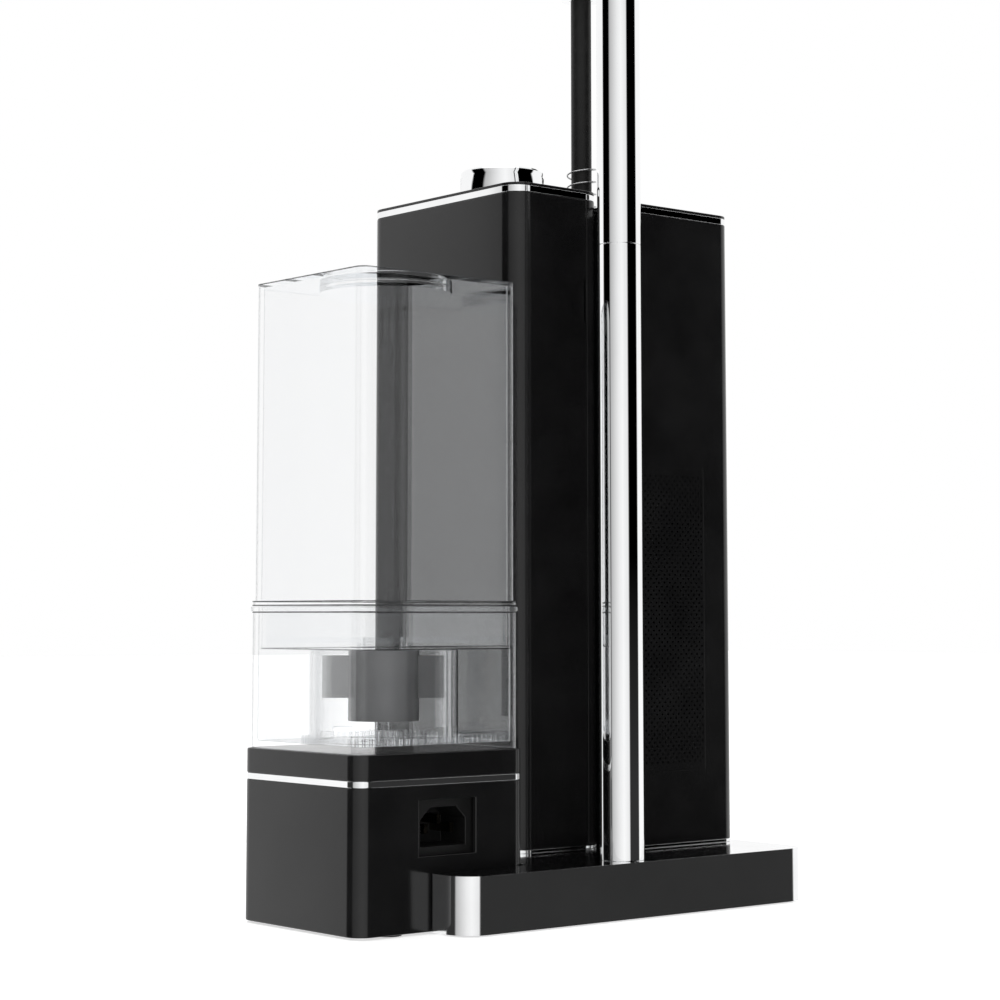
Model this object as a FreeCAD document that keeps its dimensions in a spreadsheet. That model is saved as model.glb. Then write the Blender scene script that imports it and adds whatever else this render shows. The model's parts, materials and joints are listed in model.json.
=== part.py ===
"""Table-top water appliance: a lift-off tank on its well and base, a control tower with a knob, a vented
heater module with an upright hose, and a chrome pole, all on one long foot.

Frame: +Z up, origin on the table at the middle of the whole object's footprint, +X to the heater module,
-Y to the front, where the mains inlet is. Every size is in millimetres.
"""
import FreeCAD, Part
import math
import os
import re

import Sketcher
from FreeCAD import Placement, Rotation, Vector

SIZES = {
    # base, and the band and deck on it
    "base_width": 92.5, "base_depth": 88.0, "base_corner": 8.0, "base_height": 62.4,
    "band_height": 2.8, "deck_height": 10.8, "deck_skin": 3.0, "shell_wall": 2.5,
    "pad_stand": 1.0, "pad_radius": 6.0, "pad_shift": 18.0, "cover_skin": 2.6, "drain_offset": 16.0,
    # supply board in the base
    "board_stand": 5.0, "board_inset": 14.0, "board_depth": 28.0, "board_back": 6.0, "post_inset": 6.0,
    "core_inset": 4.0, "core_width": 28.0, "core_height": 24.0,
    "can_gap": 3.0, "can_radius": 7.0, "can_height": 20.0,
    # water well, its cup and its push pin
    "well_height": 62.0, "well_inset": 1.8, "well_wall": 2.5, "well_skin": 3.0,
    "bead_height": 2.2, "bead_out": 0.9, "cup_radius": 33.0, "cup_wall": 2.5, "cup_height": 40.0,
    "cup_slot_width": 10.0, "cup_slot_height": 5.0,
    "pin_radius": 3.0, "fin_span": 26.0, "fin_skin": 2.0, "fin_drop": 4.5,
    # tank
    "tank_height": 144.3, "tank_inset": 3.0, "tank_wall": 2.5, "tank_flange": 2.2,
    "skirt_inset": 5.8, "skirt_depth": 19.0, "skirt_lip": 3.0, "lid_skin": 2.0,
    "dish_radius": 28.0, "dish_depth": 3.0, "neck_radius": 12.0, "neck_bore": 9.5,
    # tank cap and valve
    "cap_radius": 15.7, "cap_height": 31.0, "cap_drop": 3.4, "cap_skirt": 6.0, "cap_floor": 2.0,
    "cap_chamber": 2.3, "seal_height": 1.5, "wing_gap": 3.5, "wing_skin": 7.0, "wing_height": 18.6,
    "wing_rise": 10.0, "wing_turn": -40.0, "stem_radius": 1.8, "disc_radius": 7.5, "disc_skin": 1.3,
    "valve_lift": 4.0, "button_radius": 8.0, "button_skin": 1.0, "port_radius": 1.6, "port_circle": 4.6,
    "valve_coil": 5.2, "valve_wire": 0.4, "valve_turns": 4.0,
    # mains inlet
    "inlet_x": 47.7, "inlet_z": 44.4, "inlet_width": 30.7, "inlet_height": 23.5, "inlet_recess": 3.4,
    "cavity_width": 24.5, "cavity_height": 16.5, "cavity_depth": 17.0, "socket_depth": 22.0,
    "socket_wall": 1.6, "blade_width": 2.0, "blade_height": 4.0, "blade_length": 14.0,
    "blade_pitch": 7.0, "blade_drop": 1.0, "blade_tail": 8.0, "earth_rise": 4.0,
    "inlet_lap": 1.5, "inlet_flange": 2.0,
    # foot
    "foot_height": 25.4, "foot_front": 23.4, "foot_start": 38.1, "foot_corner": 13.0, "foot_wall": 3.0,
    "foot_inset": 12.0, "side_margin": 5.5, "back_margin": 2.0, "boss_radius": 4.0,
    # tower
    "tower_gap": 24.0, "tower_width": 55.3, "tower_depth": 114.3, "tower_setback": 36.7,
    "tower_top": 337.4, "tower_corner": 10.0, "rim_height": 3.2, "rim_lap": 1.3, "trim_height": 1.6,
    "cover_reach": 10.4, "notch_radius": 10.0, "notch_depth": 1.6, "notch_z": 284.0,
    "hatch_margin": 14.0, "tap_margin": 8.0, "plate_gap": 2.0,
    # knob and controls
    "knob_radius": 20.5, "knob_height": 11.8, "knob_wall": 2.2, "knob_setback": 42.7, "bezel_height": 0.6,
    "hub_wall": 3.0, "bezel_lap": 1.5, "shaft_radius": 3.0,
    "encoder_radius": 8.0, "encoder_height": 11.0, "encoder_floor": 2.0, "board_skin": 1.6,
    "control_gap": 4.0, "control_length": 56.0, "control_corner": 2.0,
    # pump and filter
    "pump_setback": 23.3, "pump_stand": 8.0, "stand_inset": 4.0, "rise_offset": 14.5,
    "volute_radius": 19.0, "volute_height": 18.0, "volute_wall": 2.5,
    "impeller_radius": 14.0, "impeller_skin": 2.0, "impeller_gap": 1.0, "impeller_hub": 4.0,
    "vane_skin": 1.2, "vane_height": 8.0, "vane_inset": 0.5,
    "rotor_shaft": 2.0, "shaft_reach": 12.0, "motor_radius": 12.5, "motor_height": 44.0,
    "filter_radius": 15.0, "filter_height": 120.0, "filter_setback": 33.0, "filter_wall": 2.0,
    "cartridge_rise": 6.0,
    # heater module
    "module_width": 70.0, "module_setback": 19.2, "module_top": 331.0, "module_corner": 8.0,
    "vent_left": 5.2, "vent_width": 43.7, "vent_low": 61.0, "vent_height": 143.4, "vent_pitch": 3.75,
    "vent_hole": 0.85, "slot_low": 70.0, "slot_pitch": 12.0, "slot_height": 5.0, "slot_inset": 16.0,
    "fan_depth": 15.0, "fan_radius": 28.5, "fan_gap": 8.0, "fan_z": 132.0, "fan_hub": 10.0,
    "spoke_skin": 2.0, "spoke_width": 4.0, "pin_gap": 3.0, "rotor_gap": 2.0,
    "vane_tilt": 50.0, "fan_skin": 1.2, "fan_chord": 9.0, "fan_root": 1.5,
    "heater_radius": 22.0, "heater_low": 190.0, "heater_height": 100.0,
    "saddle_reach": 8.0, "saddle_rise": 20.0, "saddle_height": 14.0,
    # hose
    "hose_inset": 31.9, "hose_setback": 68.8, "hose_radius": 5.2, "hose_gap": 1.0,
    "gland_radius": 9.5, "gland_height": 4.0, "gland_depth": 12.0,
    "coil_radius": 7.2, "coil_wire": 0.4, "coil_pitch": 6.4, "coil_turns": 4.1, "hose_end": 448.0,
    "fitting_wall": 0.6, "nut_radius": 9.0, "nut_height": 8.0, "stub_height": 8.0,
    # pole
    "pole_offset": 23.3, "pole_front": 13.9, "pole_radius": 10.0, "pole_wall": 1.5,
    "pole_seam": 303.0, "pole_end": 440.0, "stud_length": 50.0, "plug_height": 22.0,
    "bolt_radius": 3.0, "bolt_reach": 14.0, "bolt_head": 5.0, "head_radius": 13.0, "head_height": 24.0,
    "arm_width": 9.0, "arm_height": 7.0, "clip_radius": 10.0, "clip_height": 9.0,
    # clearances, tubes and screws
    "gap": 0.3, "fit_gap": 0.1, "run_gap": 0.05,
    "tube_radius": 4.0, "tube_wall": 1.0, "tube_bend": 9.0, "tube_z": 13.0,
    "screw_radius": 1.5, "head_size": 3.0, "head_skin": 1.4, "screw_length": 8.0, "screw_inset": 9.0,
}

PLACES = {
    # whole footprint: the origin is its middle
    "span_x": "base_width + tower_gap + tower_width + gap + module_width + side_margin",
    "span_y": "foot_front + tower_setback + tower_depth + back_margin",
    "base_left": "-span_x / 2",
    "base_right": "base_left + base_width",
    "base_front": "foot_front - span_y / 2",
    "base_back": "base_front + base_depth",
    "base_x": "base_left + base_width / 2",
    "base_y": "base_front + base_depth / 2",
    "inlet_mid": "base_left + inlet_x",
    "drain_x": "base_x + drain_offset",
    "board_low": "cover_top + board_stand",
    "board_rear": "base_back - board_back",
    "board_front": "board_rear - board_depth",
    "core_left": "base_left + board_inset + core_inset",
    "core_right": "core_left + core_width",
    "screw_seat": "pad_stand + head_skin",
    # heights in the base and tank
    "band_top": "base_height + band_height",
    "deck_top": "band_top + deck_height",
    "well_top": "deck_top + well_height",
    "well_floor": "deck_top + well_skin",
    "cup_top": "well_floor + cup_height",
    "tank_seat": "well_top + gap",
    "flange_top": "tank_seat + tank_flange",
    "tank_top": "tank_seat + tank_height",
    "lid_low": "tank_top - lid_skin",
    "skirt_low": "tank_seat - skirt_depth",
    "tank_floor": "skirt_low + skirt_lip",
    "tank_bed": "tank_floor + tank_wall",
    "cap_top": "tank_floor - cap_drop",
    "cap_low": "cap_top - cap_height",
    "cap_web": "cap_low + cap_skirt",
    "valve_seat": "cap_web + cap_floor",
    "cap_ledge": "valve_seat + cap_chamber",
    "neck_low": "cap_ledge + seal_height + gap",
    "cap_bore": "neck_radius + gap",
    "button_low": "cap_low + 0.2",
    "disc_low": "valve_seat + valve_lift",
    "wing_low": "cap_low + wing_rise",
    "wing_reach": "cup_radius - cup_wall - wing_gap",
    # foot
    "foot_left": "base_left + foot_start",
    "foot_right": "span_x / 2",
    "foot_low": "-span_y / 2",
    "foot_back": "span_y / 2",
    "foot_notch": "base_right + gap",
    "foot_lip": "base_front - gap",
    "foot_roof": "foot_height - foot_wall",
    "cover_top": "pad_stand + cover_skin",
    # tower
    "tower_left": "base_right + tower_gap",
    "tower_right": "tower_left + tower_width",
    "tower_front": "base_front + tower_setback",
    "tower_back": "tower_front + tower_depth",
    "tower_x": "tower_left + tower_width / 2",
    "tower_low": "foot_height + trim_height",
    "tower_floor": "tower_low + shell_wall",
    "seam_x": "tower_right - cover_reach",
    "cover_back": "tower_back - tower_corner",
    "rim_top": "tower_top - rim_lap",
    "rim_low": "rim_top - rim_height",
    "panel_low": "rim_top - shell_wall",
    "encoder_low": "panel_low - encoder_height",
    "plate_front": "tower_back - 2 * shell_wall",
    "bezel_top": "tower_top + bezel_height",
    "knob_low": "bezel_top + gap",
    "knob_top": "knob_low + knob_height",
    "knob_mid": "tower_front + knob_setback",
    # pump and filter
    "pump_mid": "tower_front + pump_setback",
    "rise_y": "pump_mid + rise_offset",
    "volute_low": "tower_floor + pump_stand",
    "volute_top": "volute_low + volute_height",
    "impeller_low": "volute_low + volute_wall + impeller_gap",
    "filter_mid": "tower_back - filter_setback",
    # heater module
    "module_left": "tower_right + gap",
    "module_right": "module_left + module_width",
    "module_front": "base_front + module_setback",
    "module_x": "module_left + module_width / 2",
    "module_rim_top": "module_top - rim_lap",
    "module_rim_low": "module_rim_top - rim_height",
    "vent_x": "module_left + vent_left",
    "fan_front": "module_front + shell_wall + fan_gap",
    "fan_back": "fan_front + fan_depth",
    "spoke_front": "fan_back - spoke_skin",
    "hose_x": "module_left + hose_inset",
    "hose_y": "module_front + hose_setback",
    "gland_low": "module_top - gland_depth",
    "gland_top": "module_top + gland_height",
    "nut_low": "hose_end + clip_height",
    "nut_top": "nut_low + nut_height",
    # pole
    "pole_x": "tower_left + pole_offset",
    "pole_y": "foot_low + pole_front",
    "arm_low": "hose_end + (clip_height - arm_height) / 2",
}

# how many of each like feature
CAP_PORTS = 4
PUMP_VANES = 6
FAN_BLADES = 7
REAR_SLOTS = 10
WIRE_SIDES = 8

doc = FreeCAD.newDocument("water_appliance")
sheet = doc.addObject("Spreadsheet::Sheet", "Sheet")
for row, (alias, number) in enumerate(SIZES.items(), start=1):
    sheet.set(f"A{row}", alias)
    sheet.set(f"B{row}", str(number))
    sheet.setAlias(f"B{row}", alias)
doc.recompute()

sub_parts = {}


def bound(text):
    """Turn a line of sizes and places into an expression on the sheet's cells."""
    def cell(match):
        word = match.group(0)
        if word in PLACES:
            return "(" + bound(PLACES[word]) + ")"
        return "Sheet." + word if word in SIZES else word
    return re.sub(r"[a-z_]+", cell, str(text))


def size(text):
    """The number, in millimetres, that a line of sizes and places stands for now."""
    return float(sheet.evalExpression(bound(text)))


def spot(x, y, z):
    return Vector(size(x), size(y), size(z))


def put(thing, x, y, z):
    """Bind an object's place to the sheet."""
    for axis, text in zip("xyz", (x, y, z)):
        thing.setExpression(f"Placement.Base.{axis}", bound(text))
    return thing


def sub_part(node, thing):
    """Keep a finished object as the sub-part that this node's file is written from."""
    thing.Label = node
    sub_parts[node] = thing
    return thing


def upright_edges(shape, wanted):
    """Names of the upright edges whose corner (left or right, front or back) is wanted."""
    middle = shape.BoundBox.Center
    names = []
    for number, edge in enumerate(shape.Edges, start=1):
        low, high = edge.Vertexes[0].Point, edge.Vertexes[-1].Point
        if abs(low.x - high.x) < 1e-6 and abs(low.y - high.y) < 1e-6:
            side = "left" if low.x < middle.x else "right"
            end = "front" if low.y < middle.y else "back"
            if wanted is None or (side, end) in wanted:
                names.append(f"Edge{number}")
    return names


def slab(name, x, y, z, corner=None, wanted=None):
    """A padded rectangle between two places along each axis, with its upright edges rounded."""
    body = doc.addObject("PartDesign::Body", name)
    plane = next(item for item in body.Origin.OriginFeatures if item.Role == "XY_Plane")
    outline = body.newObject("Sketcher::SketchObject", name + "_outline")
    outline.AttachmentSupport = [(plane, "")]
    outline.MapMode = "FlatFace"
    for axis, text in zip("xyz", (x[0], y[0], z[0])):
        outline.setExpression(f"AttachmentOffset.Base.{axis}", bound(text))
    ends = [Vector(0, 0, 0), Vector(10, 0, 0), Vector(10, 10, 0), Vector(0, 10, 0)]
    for number in range(4):
        outline.addGeometry(Part.LineSegment(ends[number], ends[(number + 1) % 4]), False)
    for number in range(4):
        outline.addConstraint(Sketcher.Constraint("Coincident", number, 2, (number + 1) % 4, 1))
    outline.addConstraint(Sketcher.Constraint("Horizontal", 0))
    outline.addConstraint(Sketcher.Constraint("Vertical", 1))
    outline.addConstraint(Sketcher.Constraint("Horizontal", 2))
    outline.addConstraint(Sketcher.Constraint("Vertical", 3))
    outline.addConstraint(Sketcher.Constraint("Coincident", 0, 1, -1, 1))
    for kind, line, (low, high) in (("DistanceX", 0, x), ("DistanceY", 1, y)):
        number = outline.addConstraint(Sketcher.Constraint(kind, line, 1, line, 2, 10.0))
        outline.setExpression(f"Constraints[{number}]", bound(f"({high}) - ({low})"))
    pad = body.newObject("PartDesign::Pad", name + "_pad")
    pad.Profile = outline
    pad.setExpression("Length", bound(f"({z[1]}) - ({z[0]})"))
    body.Tip = pad
    doc.recompute([outline, pad, body])
    if corner is not None:
        rounding = body.newObject("PartDesign::Fillet", name + "_rounding")
        rounding.Base = (pad, upright_edges(pad.Shape, wanted))
        rounding.setExpression("Radius", bound(corner))
        body.Tip = rounding
    return body


def block(name, x, y, z):
    """A plain box between two places along each axis."""
    thing = doc.addObject("Part::Box", name)
    for side, (low, high) in zip(("Length", "Width", "Height"), (x, y, z)):
        thing.setExpression(side, bound(f"({high}) - ({low})"))
    return put(thing, x[0], y[0], z[0])


def rod(name, x, y, z, radius):
    """An upright cylinder about (x, y) between two heights."""
    thing = doc.addObject("Part::Cylinder", name)
    thing.setExpression("Radius", bound(radius))
    thing.setExpression("Height", bound(f"({z[1]}) - ({z[0]})"))
    return put(thing, x, y, z[0])


def lying_rod(name, x, y, z, radius):
    """A cylinder along +Y, between two places in y."""
    thing = doc.addObject("Part::Cylinder", name)
    thing.Placement = Placement(Vector(), Rotation(Vector(1, 0, 0), -90))
    thing.setExpression("Radius", bound(radius))
    thing.setExpression("Height", bound(f"({y[1]}) - ({y[0]})"))
    return put(thing, x, y[0], z)


def cut(name, base, *tools):
    thing = doc.addObject("Part::Cut", name)
    thing.Base = base
    thing.Tool = tools[0] if len(tools) == 1 else fuse(name + "_tools", *tools)
    return thing


def fuse(name, *pieces):
    thing = doc.addObject("Part::MultiFuse", name)
    thing.Shapes = list(pieces)
    return thing


def group(name, pieces):
    """Separate like solids, kept together as one sub-part."""
    thing = doc.addObject("Part::Compound", name)
    thing.Links = list(pieces)
    return thing


def tube(name, x, y, z, outer, inner):
    """An upright tube between two heights."""
    return cut(name, rod(name + "_outer", x, y, z, outer), rod(name + "_bore", x, y, z, inner))


def inset(low, high, amount):
    return (f"{low} + {amount}", f"{high} - ({amount})")


def frame_ring(name, x, y, z, corner, wall):
    """A rounded rectangular ring with one wall all round."""
    outer = slab(name + "_outer", x, y, z, corner)
    inner = slab(name + "_inner", inset(*x, wall), inset(*y, wall), z, f"{corner} - {wall}")
    return cut(name, outer, inner)


def pipe(name, points, radius, wall, bend):
    """A hollow round tube along straight runs joined by tangent arcs of one bend radius."""
    edges = []
    start = points[0]
    for before, corner, after in zip(points, points[1:], points[2:]):
        come, leave = (corner - before).normalize(), (after - corner).normalize()
        half_turn = come.getAngle(leave) / 2
        trim = bend * math.tan(half_turn)
        first, last = corner - come * trim, corner + leave * trim
        inward = (leave - come).normalize()
        middle = corner + inward * (bend / math.cos(half_turn) - bend)
        edges.append(Part.LineSegment(start, first).toShape())
        edges.append(Part.Arc(first, middle, last).toShape())
        start = last
    edges.append(Part.LineSegment(start, points[-1]).toShape())
    path = Part.Wire(edges)
    swept = []
    for reach in (radius, radius - wall):
        mouth = Part.Wire(Part.Circle(points[0], points[1] - points[0], reach).toShape())
        swept.append(path.makePipeShell([mouth], True, False))
        if abs(swept[-1].Volume / (math.pi * reach ** 2 * path.Length) - 1) > 0.01:
            raise ValueError(f"{name}: the swept volume is wrong")
    thing = doc.addObject("Part::Feature", name)
    thing.Shape = swept[0].cut(swept[1])
    thing.Placement = Placement()
    return thing


def coil(name, x, y, z, radius, wire, pitch, turns):
    """A spring that winds up from z. Its thin wire has flat sides."""
    helix = Part.makeHelix(size(pitch), size(pitch) * size(turns), size(radius))
    rise = math.atan2(size(pitch), 2 * math.pi * size(radius))
    outward = Vector(size(wire), 0, 0)
    upward = Vector(0, -math.sin(rise), math.cos(rise)) * size(wire)
    corners = []
    for number in range(WIRE_SIDES):
        turn = 2 * math.pi * number / WIRE_SIDES
        corners.append(Vector(size(radius), 0, 0) + outward * math.cos(turn) + upward * math.sin(turn))
    mouth = Part.makePolygon(corners + corners[:1])
    thing = doc.addObject("Part::Feature", name)
    thing.Shape = Part.Wire(helix).makePipeShell([mouth], True, True)
    return put(thing, x, y, z)


def screws(node, places):
    """Like screws standing upright, their heads sunk in the underside of a bottom cover."""
    pieces = []
    for number, (x, y) in enumerate(places):
        shank = rod(f"{node}_shank_{number}", x, y, ("screw_seat", "screw_seat + screw_length"),
                    "screw_radius")
        head = rod(f"{node}_head_{number}", x, y, ("pad_stand", "screw_seat"), "head_size")
        pieces.append(fuse(f"{node}_{number}", shank, head))
    return sub_part(node, group(node, pieces))


def sunk_holes(name, places):
    """Clearance holes in a bottom cover, with a counterbore for each screw's head."""
    holes = []
    for number, (x, y) in enumerate(places):
        holes.append(rod(f"{name}_hole_{number}", x, y, ("0", "cover_top + 1"), "screw_radius + fit_gap"))
        holes.append(rod(f"{name}_sink_{number}", x, y, ("0", "screw_seat"), "head_size + fit_gap"))
    return holes


def bosses(name, places, roof):
    """Screw bosses that stand from the top of a bottom cover to the roof above it."""
    return [cut(f"{name}_boss_{number}",
                rod(f"{name}_boss_{number}_outer", x, y, ("cover_top", roof), "boss_radius"),
                rod(f"{name}_boss_{number}_bore", x, y, ("cover_top - 1", "cover_top + screw_length"),
                    "screw_radius"))
            for number, (x, y) in enumerate(places)]


def base_outline(amount):
    """The base's footprint drawn in by an amount, as two pairs of places."""
    return inset("base_left", "base_right", amount), inset("base_front", "base_back", amount)


# places of the screws under the base and the foot, and of the pads beside them
BASE_SCREWS = [(x, y) for x in inset("base_left", "base_right", "screw_inset")
                for y in inset("base_front", "base_back", "screw_inset")]
BASE_PADS = [(x, y) for x in inset("base_left", "base_right", "2.5 * screw_inset")
             for y in inset("base_front", "base_back", "screw_inset")]
FOOT_CORNERS = (("foot_left", "foot_low", 1, 1), ("foot_right", "foot_low", -1, 1),
                ("foot_right", "foot_back", -1, -1), ("foot_notch", "foot_back", 1, -1))
FOOT_SCREWS = [(f"{x} + {right} * foot_inset", f"{y} + {back} * foot_inset")
               for x, y, right, back in FOOT_CORNERS]
FOOT_PADS = [(f"{x} + {right} * (foot_inset + pad_shift)", f"{y} + {back} * foot_inset")
             for x, y, right, back in FOOT_CORNERS]


def tube_holes(name, places):
    """Clearance holes for the water tubes, through the trim plate and the floor above it."""
    return [rod(f"{name}_hole_{number}", x, y, ("foot_height - 1", "tower_floor + 1"), "tube_radius + gap")
            for number, (x, y) in enumerate(places)]


def build_base():
    """Base shell with the mains inlet, its bottom cover, band, deck and feet."""
    wide, deep = base_outline("0")
    wide_in, deep_in = base_outline("shell_wall")
    outer = slab("base_block", wide, deep, ("pad_stand", "base_height"), "base_corner")
    inner = slab("base_hollow", wide_in, deep_in, ("pad_stand - 1", "base_height + 1"),
                 "base_corner - shell_wall")
    inlet_wide = ("inlet_mid - inlet_width / 2", "inlet_mid + inlet_width / 2")
    inlet_tall = ("inlet_z - inlet_height / 2", "inlet_z + inlet_height / 2")
    window = block("base_inlet_window", inlet_wide, ("base_front - 1", "base_front + shell_wall + 1"),
                   inlet_tall)
    sleeve = block("base_inlet_sleeve", inset(*inlet_wide, "-shell_wall"),
                   ("base_front + shell_wall / 2", "base_front + inlet_recess"),
                   inset(*inlet_tall, "-shell_wall"))
    bore = block("base_inlet_bore", inlet_wide, ("base_front - 1", "base_front + inlet_recess + 1"),
                 inlet_tall)
    pass_hole = rod("base_tube_hole", "0", "0", ("0", "shell_wall * 3"), "tube_radius + gap")
    pass_hole.Placement = Placement(Vector(), Rotation(Vector(0, 1, 0), 90))
    put(pass_hole, "base_right - shell_wall * 2", "base_y", "tube_z")
    opened = cut("base_opened", fuse("base_with_sleeve", cut("base_walls", outer, inner), sleeve),
                 window, bore, pass_hole)
    sub_part("base_shell", fuse("base_shell", opened, *bosses("base", BASE_SCREWS, "base_height")))

    cover_wide, cover_deep = base_outline("shell_wall + gap")
    plate = slab("base_cover_plate", cover_wide, cover_deep, ("pad_stand", "cover_top"),
                 "base_corner - shell_wall - gap")
    spots = [(x, y) for x in inset("base_left", "base_right", "board_inset + post_inset")
             for y in inset("board_front", "board_rear", "post_inset")]
    posts = [rod(f"board_post_{number}", x, y, ("cover_top - cover_skin / 2", "board_low"), "boss_radius - 1")
             for number, (x, y) in enumerate(spots)]
    sub_part("base_cover", cut("base_cover", fuse("base_cover_blank", plate, *posts),
                               *sunk_holes("base_cover", BASE_SCREWS)))
    sub_part("chrome_band", frame_ring("chrome_band", wide, deep, ("base_height", "band_top"),
                                       "base_corner", "shell_wall"))
    block_top = slab("deck_block", wide, deep, ("band_top", "deck_top"), "base_corner")
    hollow = slab("deck_hollow", wide_in, deep_in, ("band_top - 1", "deck_top - deck_skin"),
                  "base_corner - shell_wall")
    drain = rod("deck_drain", "drain_x", "base_y", ("band_top", "deck_top + 1"), "tube_radius")
    sub_part("base_deck", cut("base_deck", block_top, hollow, drain))


def build_inlet():
    """Three-blade appliance inlet set back in its pocket, and its blades."""
    across = ("inlet_mid - inlet_width / 2 + fit_gap", "inlet_mid + inlet_width / 2 - fit_gap")
    tall = ("inlet_z - inlet_height / 2 + fit_gap", "inlet_z + inlet_height / 2 - fit_gap")
    flange_across = inset(*across, "-inlet_lap")
    flange_tall = inset(*tall, "-inlet_lap")
    face = "base_front + inlet_recess"
    flange = block("inlet_flange", flange_across, (face, f"{face} + inlet_flange"), flange_tall)
    wall = "socket_wall"
    cavity_across = ("inlet_mid - cavity_width / 2", "inlet_mid + cavity_width / 2")
    cavity_tall = ("inlet_z - cavity_height / 2", "inlet_z + cavity_height / 2")
    barrel = block("inlet_barrel", inset(*cavity_across, f"-{wall}"), (face, f"{face} + socket_depth"),
                   inset(*cavity_tall, f"-{wall}"))
    cavity = block("inlet_cavity", cavity_across, (f"{face} - 1", f"{face} + cavity_depth"), cavity_tall)
    blades = [("inlet_mid - blade_pitch", "inlet_z - blade_drop"),
              ("inlet_mid", "inlet_z - blade_drop + earth_rise"),
              ("inlet_mid + blade_pitch", "inlet_z - blade_drop")]
    slots = []
    pieces = []
    for number, (x, z) in enumerate(blades):
        across_blade = (f"{x} - blade_width / 2", f"{x} + blade_width / 2")
        tall_blade = (f"{z} - blade_height / 2", f"{z} + blade_height / 2")
        length = (f"{face} + cavity_depth - blade_length", f"{face} + socket_depth + blade_tail")
        slots.append(block(f"inlet_slot_{number}", across_blade, length, tall_blade))
        pieces.append(block(f"inlet_blade_{number}", across_blade, length, tall_blade))
    sub_part("inlet_socket", cut("inlet_socket", fuse("inlet_blank", flange, barrel), cavity, *slots))
    sub_part("inlet_blades", group("inlet_blades", pieces))


def build_power():
    """Supply board in the base with its transformer and smoothing capacitor."""
    across = inset("base_left", "base_right", "board_inset")
    deep = ("board_front", "board_rear")
    tall = ("board_low", "board_low + board_skin")
    sub_part("supply_board", slab("supply_board", across, deep, tall))
    top = tall[1]
    core = block("transformer", ("core_left", "core_right"), inset(*deep, "core_inset"),
                 (top, f"{top} + core_height"))
    can = rod("capacitor", "core_right + can_gap + can_radius", "(board_front + board_rear) / 2",
              (top, f"{top} + can_height"), "can_radius")
    sub_part("supply_parts", group("supply_parts", [core, can]))


def build_well():
    """Clear water well with the cup and push pin that the tank's cap comes down on."""
    wide, deep = base_outline("well_inset")
    wide_in, deep_in = base_outline("well_inset + well_wall")
    bead_wide, bead_deep = base_outline("well_inset - bead_out")
    walls = slab("well_block", wide, deep, ("deck_top", "well_top"), "base_corner - well_inset")
    bead = slab("well_bead", bead_wide, bead_deep, ("well_top - bead_height", "well_top"),
                "base_corner - well_inset + bead_out")
    hollow = slab("well_hollow", wide_in, deep_in, ("well_floor", "well_top + 1"),
                  "base_corner - well_inset - well_wall")
    drain = rod("well_drain", "drain_x", "base_y", ("deck_top - 1", "well_floor + 1"), "tube_radius")
    sub_part("water_well", cut("water_well", fuse("well_blank", walls, bead), hollow, drain))
    cup = cut("cup_wall", rod("cup_outer", "base_x", "base_y", ("well_floor", "cup_top"), "cup_radius"),
              rod("cup_bore", "base_x", "base_y", ("well_floor - 1", "cup_top + 1"),
                  "cup_radius - cup_wall"))
    long_way = [(f"{axis} - cup_radius - 1", f"{axis} + cup_radius + 1") for axis in ("base_x", "base_y")]
    short_way = [(f"{axis} - cup_slot_width / 2", f"{axis} + cup_slot_width / 2")
                 for axis in ("base_x", "base_y")]
    slots = [block(f"cup_slot_{number}", *spans, ("well_floor - 1", "well_floor + cup_slot_height"))
             for number, spans in enumerate(((long_way[0], short_way[1]), (short_way[0], long_way[1])))]
    sub_part("valve_cup", cut("valve_cup", cup, *slots))
    tall = ("well_floor", "button_low - gap")
    fin_tall = ("well_floor", "button_low - fin_drop")
    post = rod("pin_post", "base_x", "base_y", tall, "pin_radius")
    fin_a = block("pin_fin_a", ("base_x - fin_span / 2", "base_x + fin_span / 2"),
                  ("base_y - fin_skin / 2", "base_y + fin_skin / 2"), fin_tall)
    fin_b = block("pin_fin_b", ("base_x - fin_skin / 2", "base_x + fin_skin / 2"),
                  ("base_y - fin_span / 2", "base_y + fin_span / 2"), fin_tall)
    drain_gap = rod("pin_drain", "drain_x", "base_y", ("well_floor - 1", "button_low"), "tube_radius")
    sub_part("push_pin", cut("push_pin", fuse("pin_blank", post, fin_a, fin_b), drain_gap))


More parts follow.
